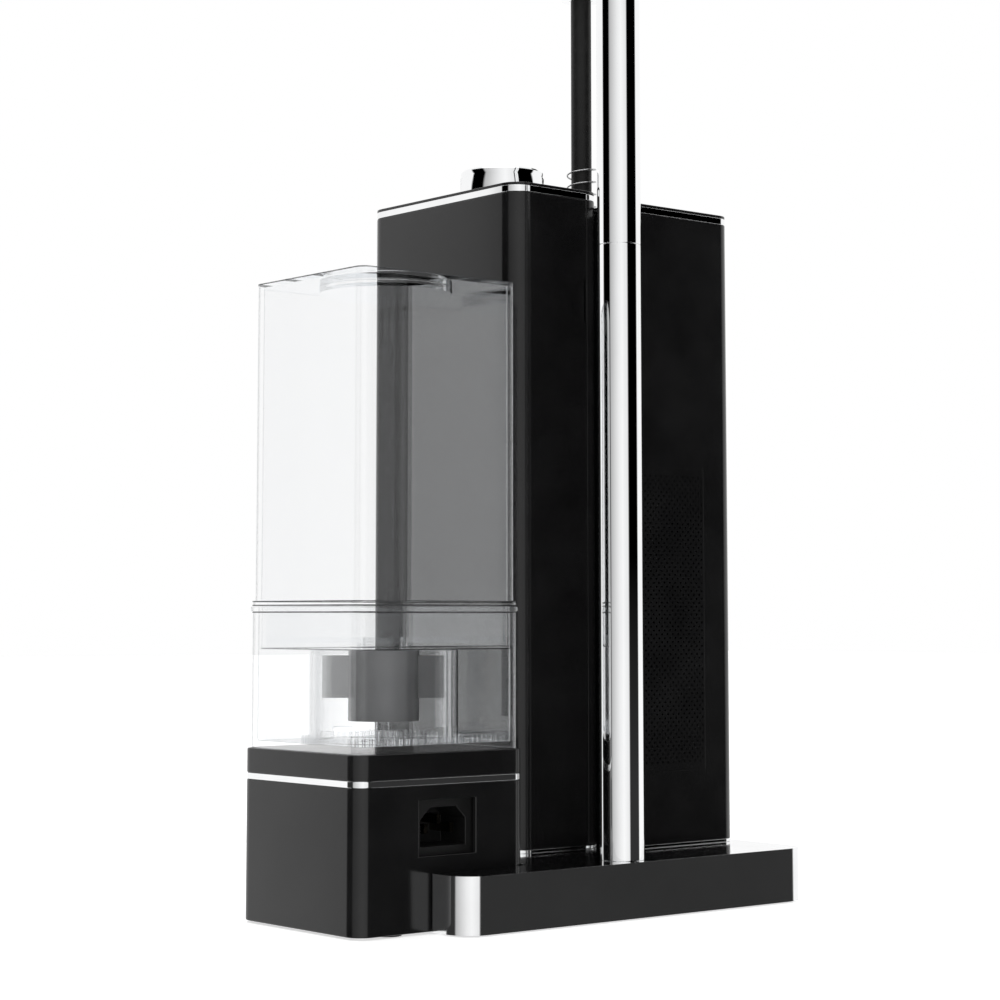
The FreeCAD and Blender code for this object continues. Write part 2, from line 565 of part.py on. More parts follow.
def build_tank():
    """Clear lift-off tank: walls, flange, skirt, floor and neck, and the dished top glued on it."""
    wide, deep = base_outline("tank_inset")
    wide_in, deep_in = base_outline("tank_inset + tank_wall")
    flange_wide, flange_deep = base_outline("well_inset")
    skirt_wide, skirt_deep = base_outline("skirt_inset")
    skirt_in_wide, skirt_in_deep = base_outline("skirt_inset + tank_wall")
    walls = slab("tank_block", wide, deep, ("tank_seat", "lid_low"), "base_corner - tank_inset")
    flange = slab("tank_flange_block", flange_wide, flange_deep, ("tank_seat", "flange_top"),
                  "base_corner - well_inset")
    skirt = slab("tank_skirt", skirt_wide, skirt_deep, ("skirt_low", "flange_top"),
                 "base_corner - skirt_inset")
    hollow = slab("tank_hollow", wide_in, deep_in, ("flange_top", "tank_top"),
                  "base_corner - tank_inset - tank_wall")
    shaft = slab("tank_shaft", skirt_in_wide, skirt_in_deep, ("tank_bed", "flange_top + 1"))
    under = slab("tank_under", skirt_in_wide, skirt_in_deep, ("skirt_low - 1", "tank_floor"))
    neck = rod("tank_neck", "base_x", "base_y", ("neck_low", "tank_bed"), "neck_radius")
    bore = rod("tank_neck_bore", "base_x", "base_y", ("neck_low - 1", "tank_bed + 1"), "neck_bore")
    shell = cut("tank_shell", fuse("tank_blank", walls, flange, skirt), hollow, shaft, under)
    sub_part("tank_body", cut("tank_body", fuse("tank_with_neck", shell, neck), bore))

    plate = slab("tank_lid_plate", wide, deep, ("lid_low", "tank_top"), "base_corner - tank_inset")
    drum = rod("tank_dish_drum", "base_x", "base_y", ("tank_top - dish_depth - lid_skin", "tank_top"),
               "dish_radius + lid_skin")
    dish = rod("tank_dish", "base_x", "base_y", ("tank_top - dish_depth", "tank_top + 1"), "dish_radius")
    sub_part("tank_top", cut("tank_top", fuse("tank_top_blank", plate, drum), dish))


def build_cap():
    """Winged cap with its seal, spring valve and button."""
    barrel = rod("cap_barrel", "base_x", "base_y", ("cap_low", "cap_top"), "cap_radius")
    wings = block("cap_wings", ("0 - wing_reach", "wing_reach"), ("0 - wing_skin / 2", "wing_skin / 2"),
                  ("0", "wing_height"))
    turned = doc.addObject("Part::Compound", "cap_wings_turned")
    turned.Links = [wings]
    turned.Placement = Placement(Vector(), Rotation(Vector(0, 0, 1), size("wing_turn")))
    turned.setExpression("Placement.Rotation.Angle", bound("wing_turn"))
    put(turned, "base_x", "base_y", "wing_low")
    neck_room = rod("cap_neck_room", "base_x", "base_y", ("cap_ledge", "cap_top + 1"), "cap_bore")
    chamber = rod("cap_chamber_bore", "base_x", "base_y", ("valve_seat", "cap_top"), "neck_bore")
    skirt_room = rod("cap_skirt_room", "base_x", "base_y", ("cap_low - 1", "cap_web"), "cap_bore")
    guide = rod("cap_guide", "base_x", "base_y", ("cap_low", "cap_top"), "stem_radius + run_gap")
    ports = [rod(f"cap_port_{number}", f"base_x + {round(math.cos(turn), 6)} * port_circle",
                 f"base_y + {round(math.sin(turn), 6)} * port_circle", ("cap_low", "cap_top"), "port_radius")
             for number, turn in enumerate(2 * math.pi * (step + 0.5) / CAP_PORTS
                                           for step in range(CAP_PORTS))]
    sub_part("tank_cap", cut("tank_cap", fuse("cap_blank", barrel, turned), neck_room, chamber, skirt_room,
                             guide, *ports))
    sub_part("cap_seal", tube("cap_seal", "base_x", "base_y", ("cap_ledge", "cap_ledge + seal_height"),
                              "cap_bore - fit_gap", "neck_bore"))
    disc = rod("valve_disc", "base_x", "base_y", ("disc_low", "disc_low + disc_skin"), "disc_radius")
    stem = rod("valve_stem", "base_x", "base_y", ("button_low", "disc_low + disc_skin"), "stem_radius")
    button = rod("valve_button", "base_x", "base_y", ("button_low", "button_low + button_skin"),
                 "button_radius")
    sub_part("valve_plunger", fuse("valve_plunger", disc, stem, button))
    spring_low = "button_low + button_skin + valve_wire + run_gap"
    pitch = "(cap_web - button_low - button_skin - 2 * valve_wire - 2 * run_gap) / valve_turns"
    sub_part("valve_spring", coil("valve_spring", "base_x", "base_y", spring_low, "valve_coil",
                                  "valve_wire", pitch, "valve_turns"))


def foot_shape(name, amount, z, corner):
    """The foot's L-shaped footprint, drawn in by an amount, between two heights."""
    front = slab(name + "_front", inset("foot_left", "foot_right", amount),
                 (f"foot_low + {amount}", f"foot_lip - ({amount})"), z, corner,
                 [("left", "front"), ("right", "front")])
    rear = slab(name + "_rear", inset("foot_notch", "foot_right", amount),
                (f"foot_low + {amount} + foot_corner", f"foot_back - ({amount})"), z, corner,
                [("left", "back"), ("right", "back")])
    return fuse(name, front, rear)


def build_foot():
    """Cast foot, open below, with its bosses, and its bottom cover."""
    outer = foot_shape("foot_block", "0", ("pad_stand", "foot_height"), "foot_corner")
    inner = foot_shape("foot_hollow", "foot_wall", ("pad_stand - 1", "foot_roof"),
                       "foot_corner - foot_wall")
    roof = ("foot_roof - 1", "foot_height + 1")
    tube_spots = (("tower_x", "base_y"), ("tower_x", "rise_y"), ("hose_x", "rise_y"))
    through = [rod(f"foot_tube_hole_{number}", x, y, roof, "tube_radius + gap")
               for number, (x, y) in enumerate(tube_spots)]
    through.append(rod("foot_pole_hole", "pole_x", "pole_y", roof, "bolt_radius + fit_gap"))
    side_hole = rod("foot_side_hole", "0", "0", ("0", "foot_wall * 3"), "tube_radius + gap")
    side_hole.Placement = Placement(Vector(), Rotation(Vector(0, 1, 0), 90))
    put(side_hole, "foot_notch - foot_wall", "base_y", "tube_z")
    sub_part("foot_plate", fuse("foot_plate", cut("foot_shell", outer, inner, *through, side_hole),
                                *bosses("foot", FOOT_SCREWS, "foot_roof + 1")))
    cover = foot_shape("foot_cover_plate", "foot_wall + gap", ("pad_stand", "cover_top"),
                       "foot_corner - foot_wall - gap")
    sub_part("foot_cover", cut("foot_cover", cover, *sunk_holes("foot_cover", FOOT_SCREWS)))


def build_tower():
    """Tower case with the pull-forward side cover, chrome rim, top panel, trim plate and back plate."""
    across, deep = ("tower_left", "tower_right"), ("tower_front", "tower_back")
    plate = slab("tower_trim_plate", across, deep, ("foot_height", "tower_low"), "tower_corner")
    outer = slab("tower_block", across, deep, ("tower_low", "rim_low"), "tower_corner")
    inner = slab("tower_hollow", inset(*across, "shell_wall"), inset(*deep, "shell_wall"),
                 ("tower_floor", "tower_top"), "tower_corner - shell_wall")
    room = block("tower_cover_room", ("seam_x - fit_gap", "tower_right + 1"),
                 ("tower_front - 1", "cover_back"), ("tower_low - 1", "tower_top"))
    notch = lying_rod("tower_notch", "seam_x", ("tower_front - 1", "tower_front + notch_depth"), "notch_z",
                      "notch_radius")
    through_back = ("tower_back - shell_wall - 1", "tower_back + 1")
    window = block("tower_window", inset(*across, "1.5 * tower_corner"), through_back,
                   ("tower_floor + hatch_margin", "rim_low - hatch_margin"))
    spots = [(x, z) for x in inset(*across, "1.6 * tower_corner")
             for z in ("tower_floor + tap_margin", "rim_low - tap_margin")]
    drills = [lying_rod(f"tower_drill_{number}", x, through_back, z, "screw_radius + fit_gap")
              for number, (x, z) in enumerate(spots)]
    tube_spots = [("tower_x", "base_y"), ("tower_x", "rise_y")]
    floor_holes = tube_holes("tower_floor", tube_spots)
    plate_holes = tube_holes("tower_trim", tube_spots)
    sub_part("tower_trim", cut("tower_trim", plate, *plate_holes))
    sub_part("tower_shell", cut("tower_shell", outer, inner, room, notch, window, *drills, *floor_holes))

    ring = frame_ring("tower_rim_ring", across, deep, ("rim_low", "rim_top"), "tower_corner", "shell_wall")
    rim_room = block("tower_rim_room", ("seam_x - fit_gap", "tower_right + 1"),
                     ("tower_front - 1", "cover_back"), ("rim_low - 1", "rim_top + 1"))
    sub_part("tower_rim", cut("tower_rim", ring, rim_room))

    lap = slab("panel_lap", across, deep, ("rim_top", "tower_top"), "tower_corner")
    plug = slab("panel_plug", ("tower_left + shell_wall + fit_gap", "seam_x - shell_wall"),
                inset(*deep, "shell_wall + fit_gap"), ("panel_low", "rim_top"),
                "tower_corner - shell_wall - fit_gap", [("left", "front"), ("left", "back")])
    bush = rod("panel_bush_hole", "tower_x", "knob_mid", ("panel_low - 1", "tower_top + 1"),
               "shaft_radius + run_gap")
    sub_part("top_panel", cut("top_panel", fuse("panel_blank", lap, plug), bush))

    cover_across, cover_deep = ("seam_x", "tower_right"), ("tower_front", "cover_back - gap")
    corner = [("right", "front")]
    for node, tall in (("side_cover", ("tower_low + gap", "rim_low")),
                       ("cover_rim", ("rim_low", "rim_top - gap"))):
        skin = slab(node + "_block", cover_across, cover_deep, tall, "tower_corner", corner)
        hollow = slab(node + "_hollow", ("seam_x - 1", "tower_right - shell_wall"),
                      ("tower_front + shell_wall", "cover_back + 1"),
                      (f"{tall[0]} - 1", f"{tall[1]} + 1"), "tower_corner - shell_wall", corner)
        sub_part(node, cut(node, skin, hollow))

    back = slab("tower_back_blank", inset(*across, "tower_corner + gap"),
                ("plate_front", "tower_back - shell_wall"),
                ("tower_floor + plate_gap", "rim_low - plate_gap"))
    taps = [lying_rod(f"tower_tap_{number}", x, ("plate_front - 1", "tower_back + 1"), z, "screw_radius")
            for number, (x, z) in enumerate(spots)]
    sub_part("tower_back_plate", cut("tower_back_plate", back, *taps))
    pieces = []
    for number, (x, z) in enumerate(spots):
        shank = lying_rod(f"tower_screw_shank_{number}", x, ("plate_front", "tower_back"), z,
                          "screw_radius")
        head = lying_rod(f"tower_screw_head_{number}", x, ("tower_back", "tower_back + back_margin - gap"), z,
                         "head_size")
        pieces.append(fuse(f"tower_screw_{number}", shank, head))
    sub_part("tower_screws", group("tower_screws", pieces))


def build_knob():
    """Knob, its shaft and bezel, the encoder under the panel and the control board."""
    skirt = rod("knob_block", "tower_x", "knob_mid", ("knob_low", "knob_top"), "knob_radius")
    hollow = rod("knob_hollow", "tower_x", "knob_mid", ("knob_low - 1", "knob_top - knob_wall * 2"),
                 "knob_radius - knob_wall")
    hub = rod("knob_hub", "tower_x", "knob_mid", ("knob_low + 1", "knob_top - knob_wall"),
              "shaft_radius + hub_wall")
    bore = rod("knob_bore", "tower_x", "knob_mid", ("knob_low - 1", "knob_top - knob_wall * 2"),
               "shaft_radius")
    sub_part("knob", cut("knob", fuse("knob_with_hub", cut("knob_cup", skirt, hollow), hub), bore))
    sub_part("knob_shaft", rod("knob_shaft", "tower_x", "knob_mid",
                               ("encoder_low + encoder_floor", "knob_top - knob_wall * 2"), "shaft_radius"))
    sub_part("knob_bezel", tube("knob_bezel", "tower_x", "knob_mid", ("tower_top", "bezel_top"),
                                "knob_radius + bezel_lap", "shaft_radius + 1"))
    body = rod("encoder_block", "tower_x", "knob_mid", ("encoder_low", "panel_low"), "encoder_radius")
    well = rod("encoder_bore", "tower_x", "knob_mid",
               ("encoder_low + encoder_floor - fit_gap", "panel_low + 1"), "shaft_radius + run_gap")
    sub_part("encoder", cut("encoder", body, well))
    board_deep = ("knob_mid - control_length / 2", "knob_mid + control_length / 2")
    sub_part("control_board", slab("control_board",
                                   ("tower_left + shell_wall + control_gap", "seam_x - control_gap"),
                                   board_deep, ("encoder_low - board_skin", "encoder_low"),
                                   "control_corner"))


def build_pump():
    """Centrifugal pump on the tower's floor with its impeller and motor, and the water filter."""
    stand = rod("pump_stand_block", "tower_x", "pump_mid", ("tower_floor", "volute_low"),
                "volute_radius - stand_inset")
    outer = rod("volute_block", "tower_x", "pump_mid", ("volute_low", "volute_top"), "volute_radius")
    inner = rod("volute_hollow", "tower_x", "pump_mid",
                ("volute_low + volute_wall", "volute_top - volute_wall"), "volute_radius - volute_wall")
    shaft_hole = rod("volute_shaft_hole", "tower_x", "pump_mid", ("volute_top - volute_wall - 1",
                     "volute_top + 1"), "rotor_shaft + run_gap")
    feed_room = rod("pump_feed_room", "tower_x", "base_y", ("tower_floor - 1", "volute_low"),
                    "tube_radius + gap")
    rise_room = rod("pump_rise_room", "tower_x", "rise_y", ("tower_floor - 1", "volute_low"),
                    "tube_radius + gap")
    sub_part("pump_body", cut("pump_body", fuse("pump_blank", stand, outer), inner, shaft_hole, feed_room,
                              rise_room))
    disc = rod("impeller_disc", "tower_x", "pump_mid", ("impeller_low", "impeller_low + impeller_skin"),
               "impeller_radius")
    hub = rod("impeller_hub", "tower_x", "pump_mid",
              ("impeller_low", "volute_top - volute_wall - impeller_gap"), "impeller_hub")
    shaft = rod("impeller_shaft", "tower_x", "pump_mid", ("impeller_low", "volute_top + shaft_reach"),
                "rotor_shaft")
    vanes = []
    for number in range(PUMP_VANES):
        vane = block(f"impeller_vane_{number}", ("rotor_shaft", "impeller_radius - vane_inset"),
                     ("0 - vane_skin / 2", "vane_skin / 2"), ("0", "vane_height"))
        ring = doc.addObject("Part::Compound", f"impeller_vane_turned_{number}")
        ring.Links = [vane]
        ring.Placement = Placement(Vector(), Rotation(Vector(0, 0, 1), 360 / PUMP_VANES * number))
        vanes.append(put(ring, "tower_x", "pump_mid", "impeller_low + impeller_skin / 2"))
    sub_part("pump_impeller", fuse("pump_impeller", disc, hub, shaft, *vanes))
    can = rod("motor_can", "tower_x", "pump_mid", ("volute_top", "volute_top + motor_height"), "motor_radius")
    well = rod("motor_bore", "tower_x", "pump_mid", ("volute_top - 1", "volute_top + shaft_reach + gap"),
               "rotor_shaft + run_gap")
    sub_part("pump_motor", cut("pump_motor", can, well))

    filter_top = "tower_floor + filter_height"
    housing = rod("filter_block", "tower_x", "filter_mid", ("tower_floor", filter_top), "filter_radius")
    room = rod("filter_room", "tower_x", "filter_mid", ("tower_floor + filter_wall", f"{filter_top} + 1"),
               "filter_radius - filter_wall")
    sub_part("filter_housing", cut("filter_housing", housing, room))
    sub_part("filter_cartridge", rod("filter_cartridge", "tower_x", "filter_mid",
                                     ("tower_floor + filter_wall", f"{filter_top} + cartridge_rise"),
                                     "filter_radius - filter_wall - fit_gap"))


def build_tubes():
    """Water tubes through the foot: well to pump, and pump to heater."""
    sizes = [size(text) for text in ("tube_radius", "tube_wall", "tube_bend")]
    feed = [spot("drain_x", "base_y", "deck_top - deck_skin"), spot("drain_x", "base_y", "tube_z"),
            spot("tower_x", "base_y", "tube_z"), spot("tower_x", "base_y", "volute_low")]
    sub_part("feed_tube", pipe("feed_tube", feed, *sizes))
    rise = [spot("tower_x", "rise_y", "volute_low"), spot("tower_x", "rise_y", "tube_z"),
            spot("hose_x", "rise_y", "tube_z"), spot("hose_x", "rise_y", "heater_low")]
    sub_part("pressure_tube", pipe("pressure_tube", rise, *sizes))


def build_module():
    """Heater module: case, perforated vent, chrome rim, top, trim plate, fan and heater."""
    across, deep = ("module_left", "module_right"), ("module_front", "tower_back")
    corner = "module_corner"
    outer = slab("module_block", across, deep, ("tower_low", "module_rim_low"), corner)
    inner = slab("module_hollow", inset(*across, "shell_wall"), inset(*deep, "shell_wall"),
                 ("tower_floor", "module_top"), f"{corner} - shell_wall")
    vent_across = ("vent_x", "vent_x + vent_width")
    vent_tall = ("vent_low", "vent_low + vent_height")
    window = block("module_window", vent_across, ("module_front - 1", "module_front + shell_wall + 1"),
                   vent_tall)
    rear_slots = []
    for number in range(REAR_SLOTS):
        slot_z = f"(slot_low + {number} * slot_pitch)"
        rear_slots.append(block(f"module_slot_{number}", inset(*across, "slot_inset"),
                                ("tower_back - shell_wall - 1", "tower_back + 1"),
                                (slot_z, f"{slot_z} + slot_height")))
    tube_spots = [("hose_x", "rise_y")]
    hole, = tube_holes("module_floor", tube_spots)
    sub_part("module_shell", cut("module_shell", outer, inner, window, hole, *rear_slots))
    trim = slab("module_trim_plate", across, deep, ("foot_height", "tower_low"), corner)
    sub_part("module_trim", cut("module_trim", trim, *tube_holes("module_trim", tube_spots)))
    sub_part("module_rim", frame_ring("module_rim", across, deep, ("module_rim_low", "module_rim_top"),
                                      corner, "shell_wall"))
    lap = slab("module_lap", across, deep, ("module_rim_top", "module_top"), corner)
    plug = slab("module_plug", inset(*across, "shell_wall + fit_gap"), inset(*deep, "shell_wall + fit_gap"),
                ("module_rim_top - shell_wall", "module_rim_top"), f"{corner} - shell_wall - fit_gap")
    hose_hole = rod("module_hose_hole", "hose_x", "hose_y", ("module_rim_low", "module_top + 1"),
                    "hose_radius + hose_gap")
    sub_part("module_cap", cut("module_cap", fuse("module_cap_blank", lap, plug), hose_hole))
    build_grille(vent_across, vent_tall)
    build_fan(across)
    body = rod("heater_block", "hose_x", "hose_y", ("heater_low", "heater_low + heater_height"),
               "heater_radius")
    outlet = rod("heater_outlet", "hose_x", "hose_y", ("heater_low + heater_height - 1", "gland_low"),
                 "tube_radius")
    sub_part("heater", fuse("heater", body, outlet))
    saddle = block("saddle_block", inset(*across, "module_corner + 1"),
                   ("hose_y + saddle_reach", "tower_back - shell_wall"),
                   ("heater_low + saddle_rise", "heater_low + saddle_rise + saddle_height"))
    seat = rod("saddle_seat", "hose_x", "hose_y", ("heater_low", "heater_low + heater_height"),
               "heater_radius + run_gap")
    sub_part("heater_saddle", cut("heater_saddle", saddle, seat))


def build_grille(across, tall):
    """Flush vent panel with staggered round holes."""
    pitch = size("vent_pitch")
    wide, high = size("vent_width"), size("vent_height")
    left, low = size(across[0]), size(tall[0])
    front = size("module_front")
    edge = size("fit_gap")
    corners = [Vector(left + edge, front, low + edge), Vector(left + wide - edge, front, low + edge),
               Vector(left + wide - edge, front, low + high - edge),
               Vector(left + edge, front, low + high - edge)]
    wires = [Part.makePolygon(corners + corners[:1])]
    columns, rows = int(wide / pitch), int(high / pitch)
    first_x = left + (wide - (columns - 1) * pitch) / 2
    first_z = low + (high - (rows - 1) * pitch) / 2
    for column in range(columns):
        for row in range(rows):
            middle = Vector(first_x + column * pitch, front, first_z + row * pitch)
            wires.append(Part.Wire(Part.Circle(middle, Vector(0, 1, 0), size("vent_hole")).toShape()))
    face = Part.makeFace(wires, "Part::FaceMakerBullseye")
    thing = doc.addObject("Part::Feature", "vent_grille")
    thing.Shape = face.extrude(Vector(0, size("shell_wall"), 0))
    thing.Placement = Placement()
    sub_part("vent_grille", thing)


def build_fan(across):
    """Cooling fan behind the vent: a square frame across the case, a pin, and a bladed rotor."""
    deep = ("fan_front", "fan_back")
    half = "(module_width / 2 - shell_wall - fit_gap)"
    frame = block("fan_frame_block", inset(*across, "shell_wall + fit_gap"), deep,
                  (f"fan_z - {half}", f"fan_z + {half}"))
    duct = lying_rod("fan_duct", "module_x", ("fan_front - 1", "fan_back + 1"), "fan_z", "fan_radius")
    behind = ("spoke_front", "fan_back")
    arms = [block("fan_spoke_a", ("module_x - fan_radius - 1", "module_x + fan_radius + 1"), behind,
                  ("fan_z - spoke_width / 2", "fan_z + spoke_width / 2")),
            block("fan_spoke_b", ("module_x - spoke_width / 2", "module_x + spoke_width / 2"), behind,
                  ("fan_z - fan_radius - 1", "fan_z + fan_radius + 1"))]
    boss = lying_rod("fan_boss", "module_x", behind, "fan_z", "fan_hub")
    pin = lying_rod("fan_pin", "module_x", ("fan_front + pin_gap", "fan_back"), "fan_z", "rotor_shaft")
    sub_part("fan_frame", fuse("fan_frame", cut("fan_frame_hollow", frame, duct), *arms, boss, pin))
    hub = lying_rod("fan_hub_block", "module_x", ("fan_front + rotor_gap", "spoke_front - gap"), "fan_z",
                    "fan_hub")
    blades = []
    tilt = Rotation(Vector(1, 0, 0), size("vane_tilt"))
    lean = tilt.multVec(Vector(0, -size("fan_skin") / 2, -size("fan_chord") / 2))
    for number in range(FAN_BLADES):
        blade = doc.addObject("Part::Box", f"fan_blade_{number}")
        blade.setExpression("Length", bound("fan_radius - fan_hub"))
        blade.setExpression("Width", bound("fan_skin"))
        blade.setExpression("Height", bound("fan_chord"))
        blade.Placement = Placement(Vector(size("fan_hub - fan_root"), 0, 0) + lean, tilt)
        wing = doc.addObject("Part::Compound", f"fan_wing_{number}")
        wing.Links = [blade]
        wing.Placement = Placement(Vector(), Rotation(Vector(0, 1, 0), 360 / FAN_BLADES * number))
        blades.append(put(wing, "module_x", "(fan_front + fan_back) / 2", "fan_z"))
    bore = lying_rod("fan_bore", "module_x", deep, "fan_z", "rotor_shaft + run_gap")
    sub_part("fan_rotor", cut("fan_rotor", fuse("fan_rotor_blank", hub, *blades), bore))


def build_hose():
    """Gland, spring strain relief, the upright hose and its end fitting."""
    flange = rod("gland_flange", "hose_x", "hose_y", ("module_top", "gland_top"), "gland_radius")
    neck = rod("gland_neck", "hose_x", "hose_y", ("gland_low", "module_top + 1"),
               "hose_radius + hose_gap - fit_gap")
    sub_part("hose_gland", fuse("hose_gland", flange, neck))
    sub_part("relief_spring", coil("relief_spring", "hose_x", "hose_y",
                                   "gland_top + coil_wire + run_gap", "coil_radius", "coil_wire",
                                   "coil_pitch", "coil_turns"))
    sub_part("hose", rod("hose", "hose_x", "hose_y", ("gland_top", "hose_end"), "hose_radius"))
    body = rod("fitting_body", "hose_x", "hose_y", ("hose_end", "nut_low"), "hose_radius + fitting_wall")
    nut = rod("fitting_nut", "hose_x", "hose_y", ("nut_low", "nut_top"), "nut_radius")
    stub = rod("fitting_stub", "hose_x", "hose_y", ("nut_top - 1", "nut_top + stub_height"), "tube_radius")
    sub_part("hose_fitting", fuse("hose_fitting", body, nut, stub))


def build_pole():
    """Two-part pole with its joint stud, foot rod and nut, and the head and arm that hold the hose."""
    sub_part("pole_lower", tube("pole_lower", "pole_x", "pole_y", ("foot_height", "pole_seam"),
                                "pole_radius", "pole_radius - pole_wall"))
    sub_part("pole_upper", tube("pole_upper", "pole_x", "pole_y", ("pole_seam", "pole_end"),
                                "pole_radius", "pole_radius - pole_wall"))
    sub_part("pole_stud", rod("pole_stud", "pole_x", "pole_y",
                              ("pole_seam - stud_length / 2", "pole_seam + stud_length / 2"),
                              "pole_radius - pole_wall"))
    plug = rod("pole_plug_block", "pole_x", "pole_y", ("foot_height", "foot_height + plug_height"),
               "pole_radius - pole_wall")
    plug_bore = rod("pole_plug_bore", "pole_x", "pole_y", ("foot_height - 1", "foot_height + bolt_reach + 1"),
                    "bolt_radius")
    sub_part("pole_plug", cut("pole_plug", plug, plug_bore))
    shank = rod("pole_bolt_shank", "pole_x", "pole_y", ("foot_roof", "foot_height + bolt_reach"),
                "bolt_radius")
    head = rod("pole_bolt_head", "pole_x", "pole_y", ("foot_roof - bolt_head", "foot_roof"),
               "bolt_radius * 2")
    sub_part("pole_bolt", fuse("pole_bolt", shank, head))
    cap = rod("head_block", "pole_x", "pole_y", ("pole_end - head_height / 3", "pole_end + head_height"),
              "head_radius")
    socket = rod("head_socket", "pole_x", "pole_y", ("pole_end - head_height", "pole_end"),
                 "pole_radius")
    away = spot("hose_x - (pole_x)", "hose_y - (pole_y)", "0")
    arm = doc.addObject("Part::Box", "head_arm")
    arm.Length = away.Length
    arm.setExpression("Width", bound("arm_width"))
    arm.setExpression("Height", bound("arm_height"))
    turn = Rotation(Vector(1, 0, 0), away)
    side = turn.multVec(Vector(0, -size("arm_width") / 2, 0))
    arm.Placement = Placement(spot("pole_x", "pole_y", "arm_low") + side, turn)
    clip = rod("head_clip", "hose_x", "hose_y", ("hose_end", "nut_low"), "clip_radius")
    clip_bore = rod("head_clip_bore", "hose_x", "hose_y",
                    ("hose_end - 1", "nut_low + 1"), "hose_radius + fitting_wall")
    sub_part("pole_head", cut("pole_head", fuse("head_blank", cap, arm, clip), socket, clip_bore))


build_base()
build_inlet()
build_power()
build_well()
build_tank()
build_cap()
build_foot()
build_tower()
build_knob()
build_pump()
build_tubes()
build_module()
build_hose()
build_pole()
screws("cover_screws", BASE_SCREWS + FOOT_SCREWS)
sub_part("rubber_pads", group("rubber_pads", [rod(f"pad_{number}", x, y, ("0", "pad_stand"), "pad_radius")
                                              for number, (x, y) in enumerate(BASE_PADS + FOOT_PADS)]))
doc.recompute()

for thing in doc.Objects:
    if "Invalid" in thing.State or "Error" in thing.State:
        raise RuntimeError(f"{thing.Name} failed: {thing.State}")
for node, thing in sub_parts.items():
    if thing.Shape.isNull() or not thing.Shape.isValid() or not thing.Shape.Solids:
        raise RuntimeError(f"{node} has no valid solid")

os.makedirs("parts", exist_ok=True)
for node, thing in sub_parts.items():
    thing.Shape.exportStep(f"parts/{node}.step")
print(len(sub_parts), "sub-parts")
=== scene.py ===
"""Looks for a table-top water appliance.

It has a clear lift-off tank, a control tower, a vented module and a chrome pole. Everything is in
metres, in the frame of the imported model: +Z up, -Y to the front.
"""
import json
import math

import bmesh
import bpy
from mathutils import Matrix, Vector


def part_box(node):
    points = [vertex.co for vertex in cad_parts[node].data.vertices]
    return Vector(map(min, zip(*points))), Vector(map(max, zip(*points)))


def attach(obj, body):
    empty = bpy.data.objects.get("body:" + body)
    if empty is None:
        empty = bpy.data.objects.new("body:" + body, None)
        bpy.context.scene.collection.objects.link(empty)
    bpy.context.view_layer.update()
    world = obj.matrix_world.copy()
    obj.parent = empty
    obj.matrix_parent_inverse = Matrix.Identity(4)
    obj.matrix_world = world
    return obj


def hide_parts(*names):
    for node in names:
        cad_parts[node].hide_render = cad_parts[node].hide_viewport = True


bl_info = {
    "name": "Water appliance",
    "version": (1, 0, 0),
    "blender": (4, 5, 0),
    "location": "3D View > Sidebar > Appliance",
    "description": "Builds the cases, clear tank, knob, pole and hose around the appliance's frame",
    "category": "Object",
}

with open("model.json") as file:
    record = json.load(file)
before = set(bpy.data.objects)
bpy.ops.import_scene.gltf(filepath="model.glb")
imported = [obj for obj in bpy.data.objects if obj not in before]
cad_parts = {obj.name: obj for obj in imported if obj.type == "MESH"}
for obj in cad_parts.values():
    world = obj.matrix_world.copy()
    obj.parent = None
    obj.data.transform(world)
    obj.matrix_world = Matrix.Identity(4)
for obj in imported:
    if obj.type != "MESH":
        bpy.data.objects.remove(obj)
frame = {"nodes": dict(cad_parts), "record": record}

UP = Vector((0, 0, 1))
CLEARANCE = 0.00002
HAIR = 0.00001
HOSE_LOW, HOSE_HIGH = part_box("hose")
POLE_LOW, POLE_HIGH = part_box("pole_lower")

# brightness of the studio round the appliance, by degrees round from STUDIO_FRONT
STUDIO_BANDS = ((-180, 1), (-97, 1), (-92, 0), (-56, 0), (-50, 0.5), (-8, 0.9),
                (10, 1), (38, 0.85), (43, 0), (96, 0), (101, 1), (180, 1))
TABLE_GLOW = 0.032
FLOOR_GLOW = 0.62
# the level direction, from the appliance, that the bands are counted from
STUDIO_FRONT = Vector((-0.64, -0.768, 0))
# how many clear surfaces light may pass: the tank stands inside the well, and each wall has two
CLEAR_LAYERS = 32

LAMP_PLACE = (-0.2, 0.1, 1.7)
LAMP_TARGET = Vector((0, 0, 0.15))
LAMP_WIDTH, LAMP_POWER = 1.4, 9.0
CAMERA_PLACE = (-0.7151, -0.8662, 0.1337)
CAMERA_TILT, CAMERA_TURN = math.radians(90 + 5.482), math.radians(-39.81)
CAMERA_LENS, CAMERA_SENSOR, CAMERA_SHIFT = 85.36, 36.0, -0.1112

# fits: parts that part or slide, parts set into a hole, and how far a cutter reaches past a wall
RUNNING_GAP = 0.0003
SEAM_GAP = 0.0001
THROUGH = 0.001
REACH = 0.02
ROOM = 0.01
CUT_DEPTH, CUT_PROUD = 0.005, 0.002
# two places nearer than this are the same corner
NEAR = 0.001
CAST_ROUND = 0.0009

DECK_SKIN = 0.003
# the inlet: its plate, half the width and height of its barrel, and the cavity in it
INLET_PLATE, BARREL_HALF = 0.002, (0.01385, 0.00985)
CAVITY, CAVITY_DEPTH, CAVITY_CHAMFER = (0.0245, 0.018, 0.0165), 0.008, 0.0052
WELL_FLOOR, WELL_CORNER_STEP = 0.003, 0.0018
PIN_RADIUS, PIN_FIN, PIN_TIP = 0.003, 0.001, 0.0042
SKIRT_CORNER, SKIRT_WALL = 0.0022, 0.002
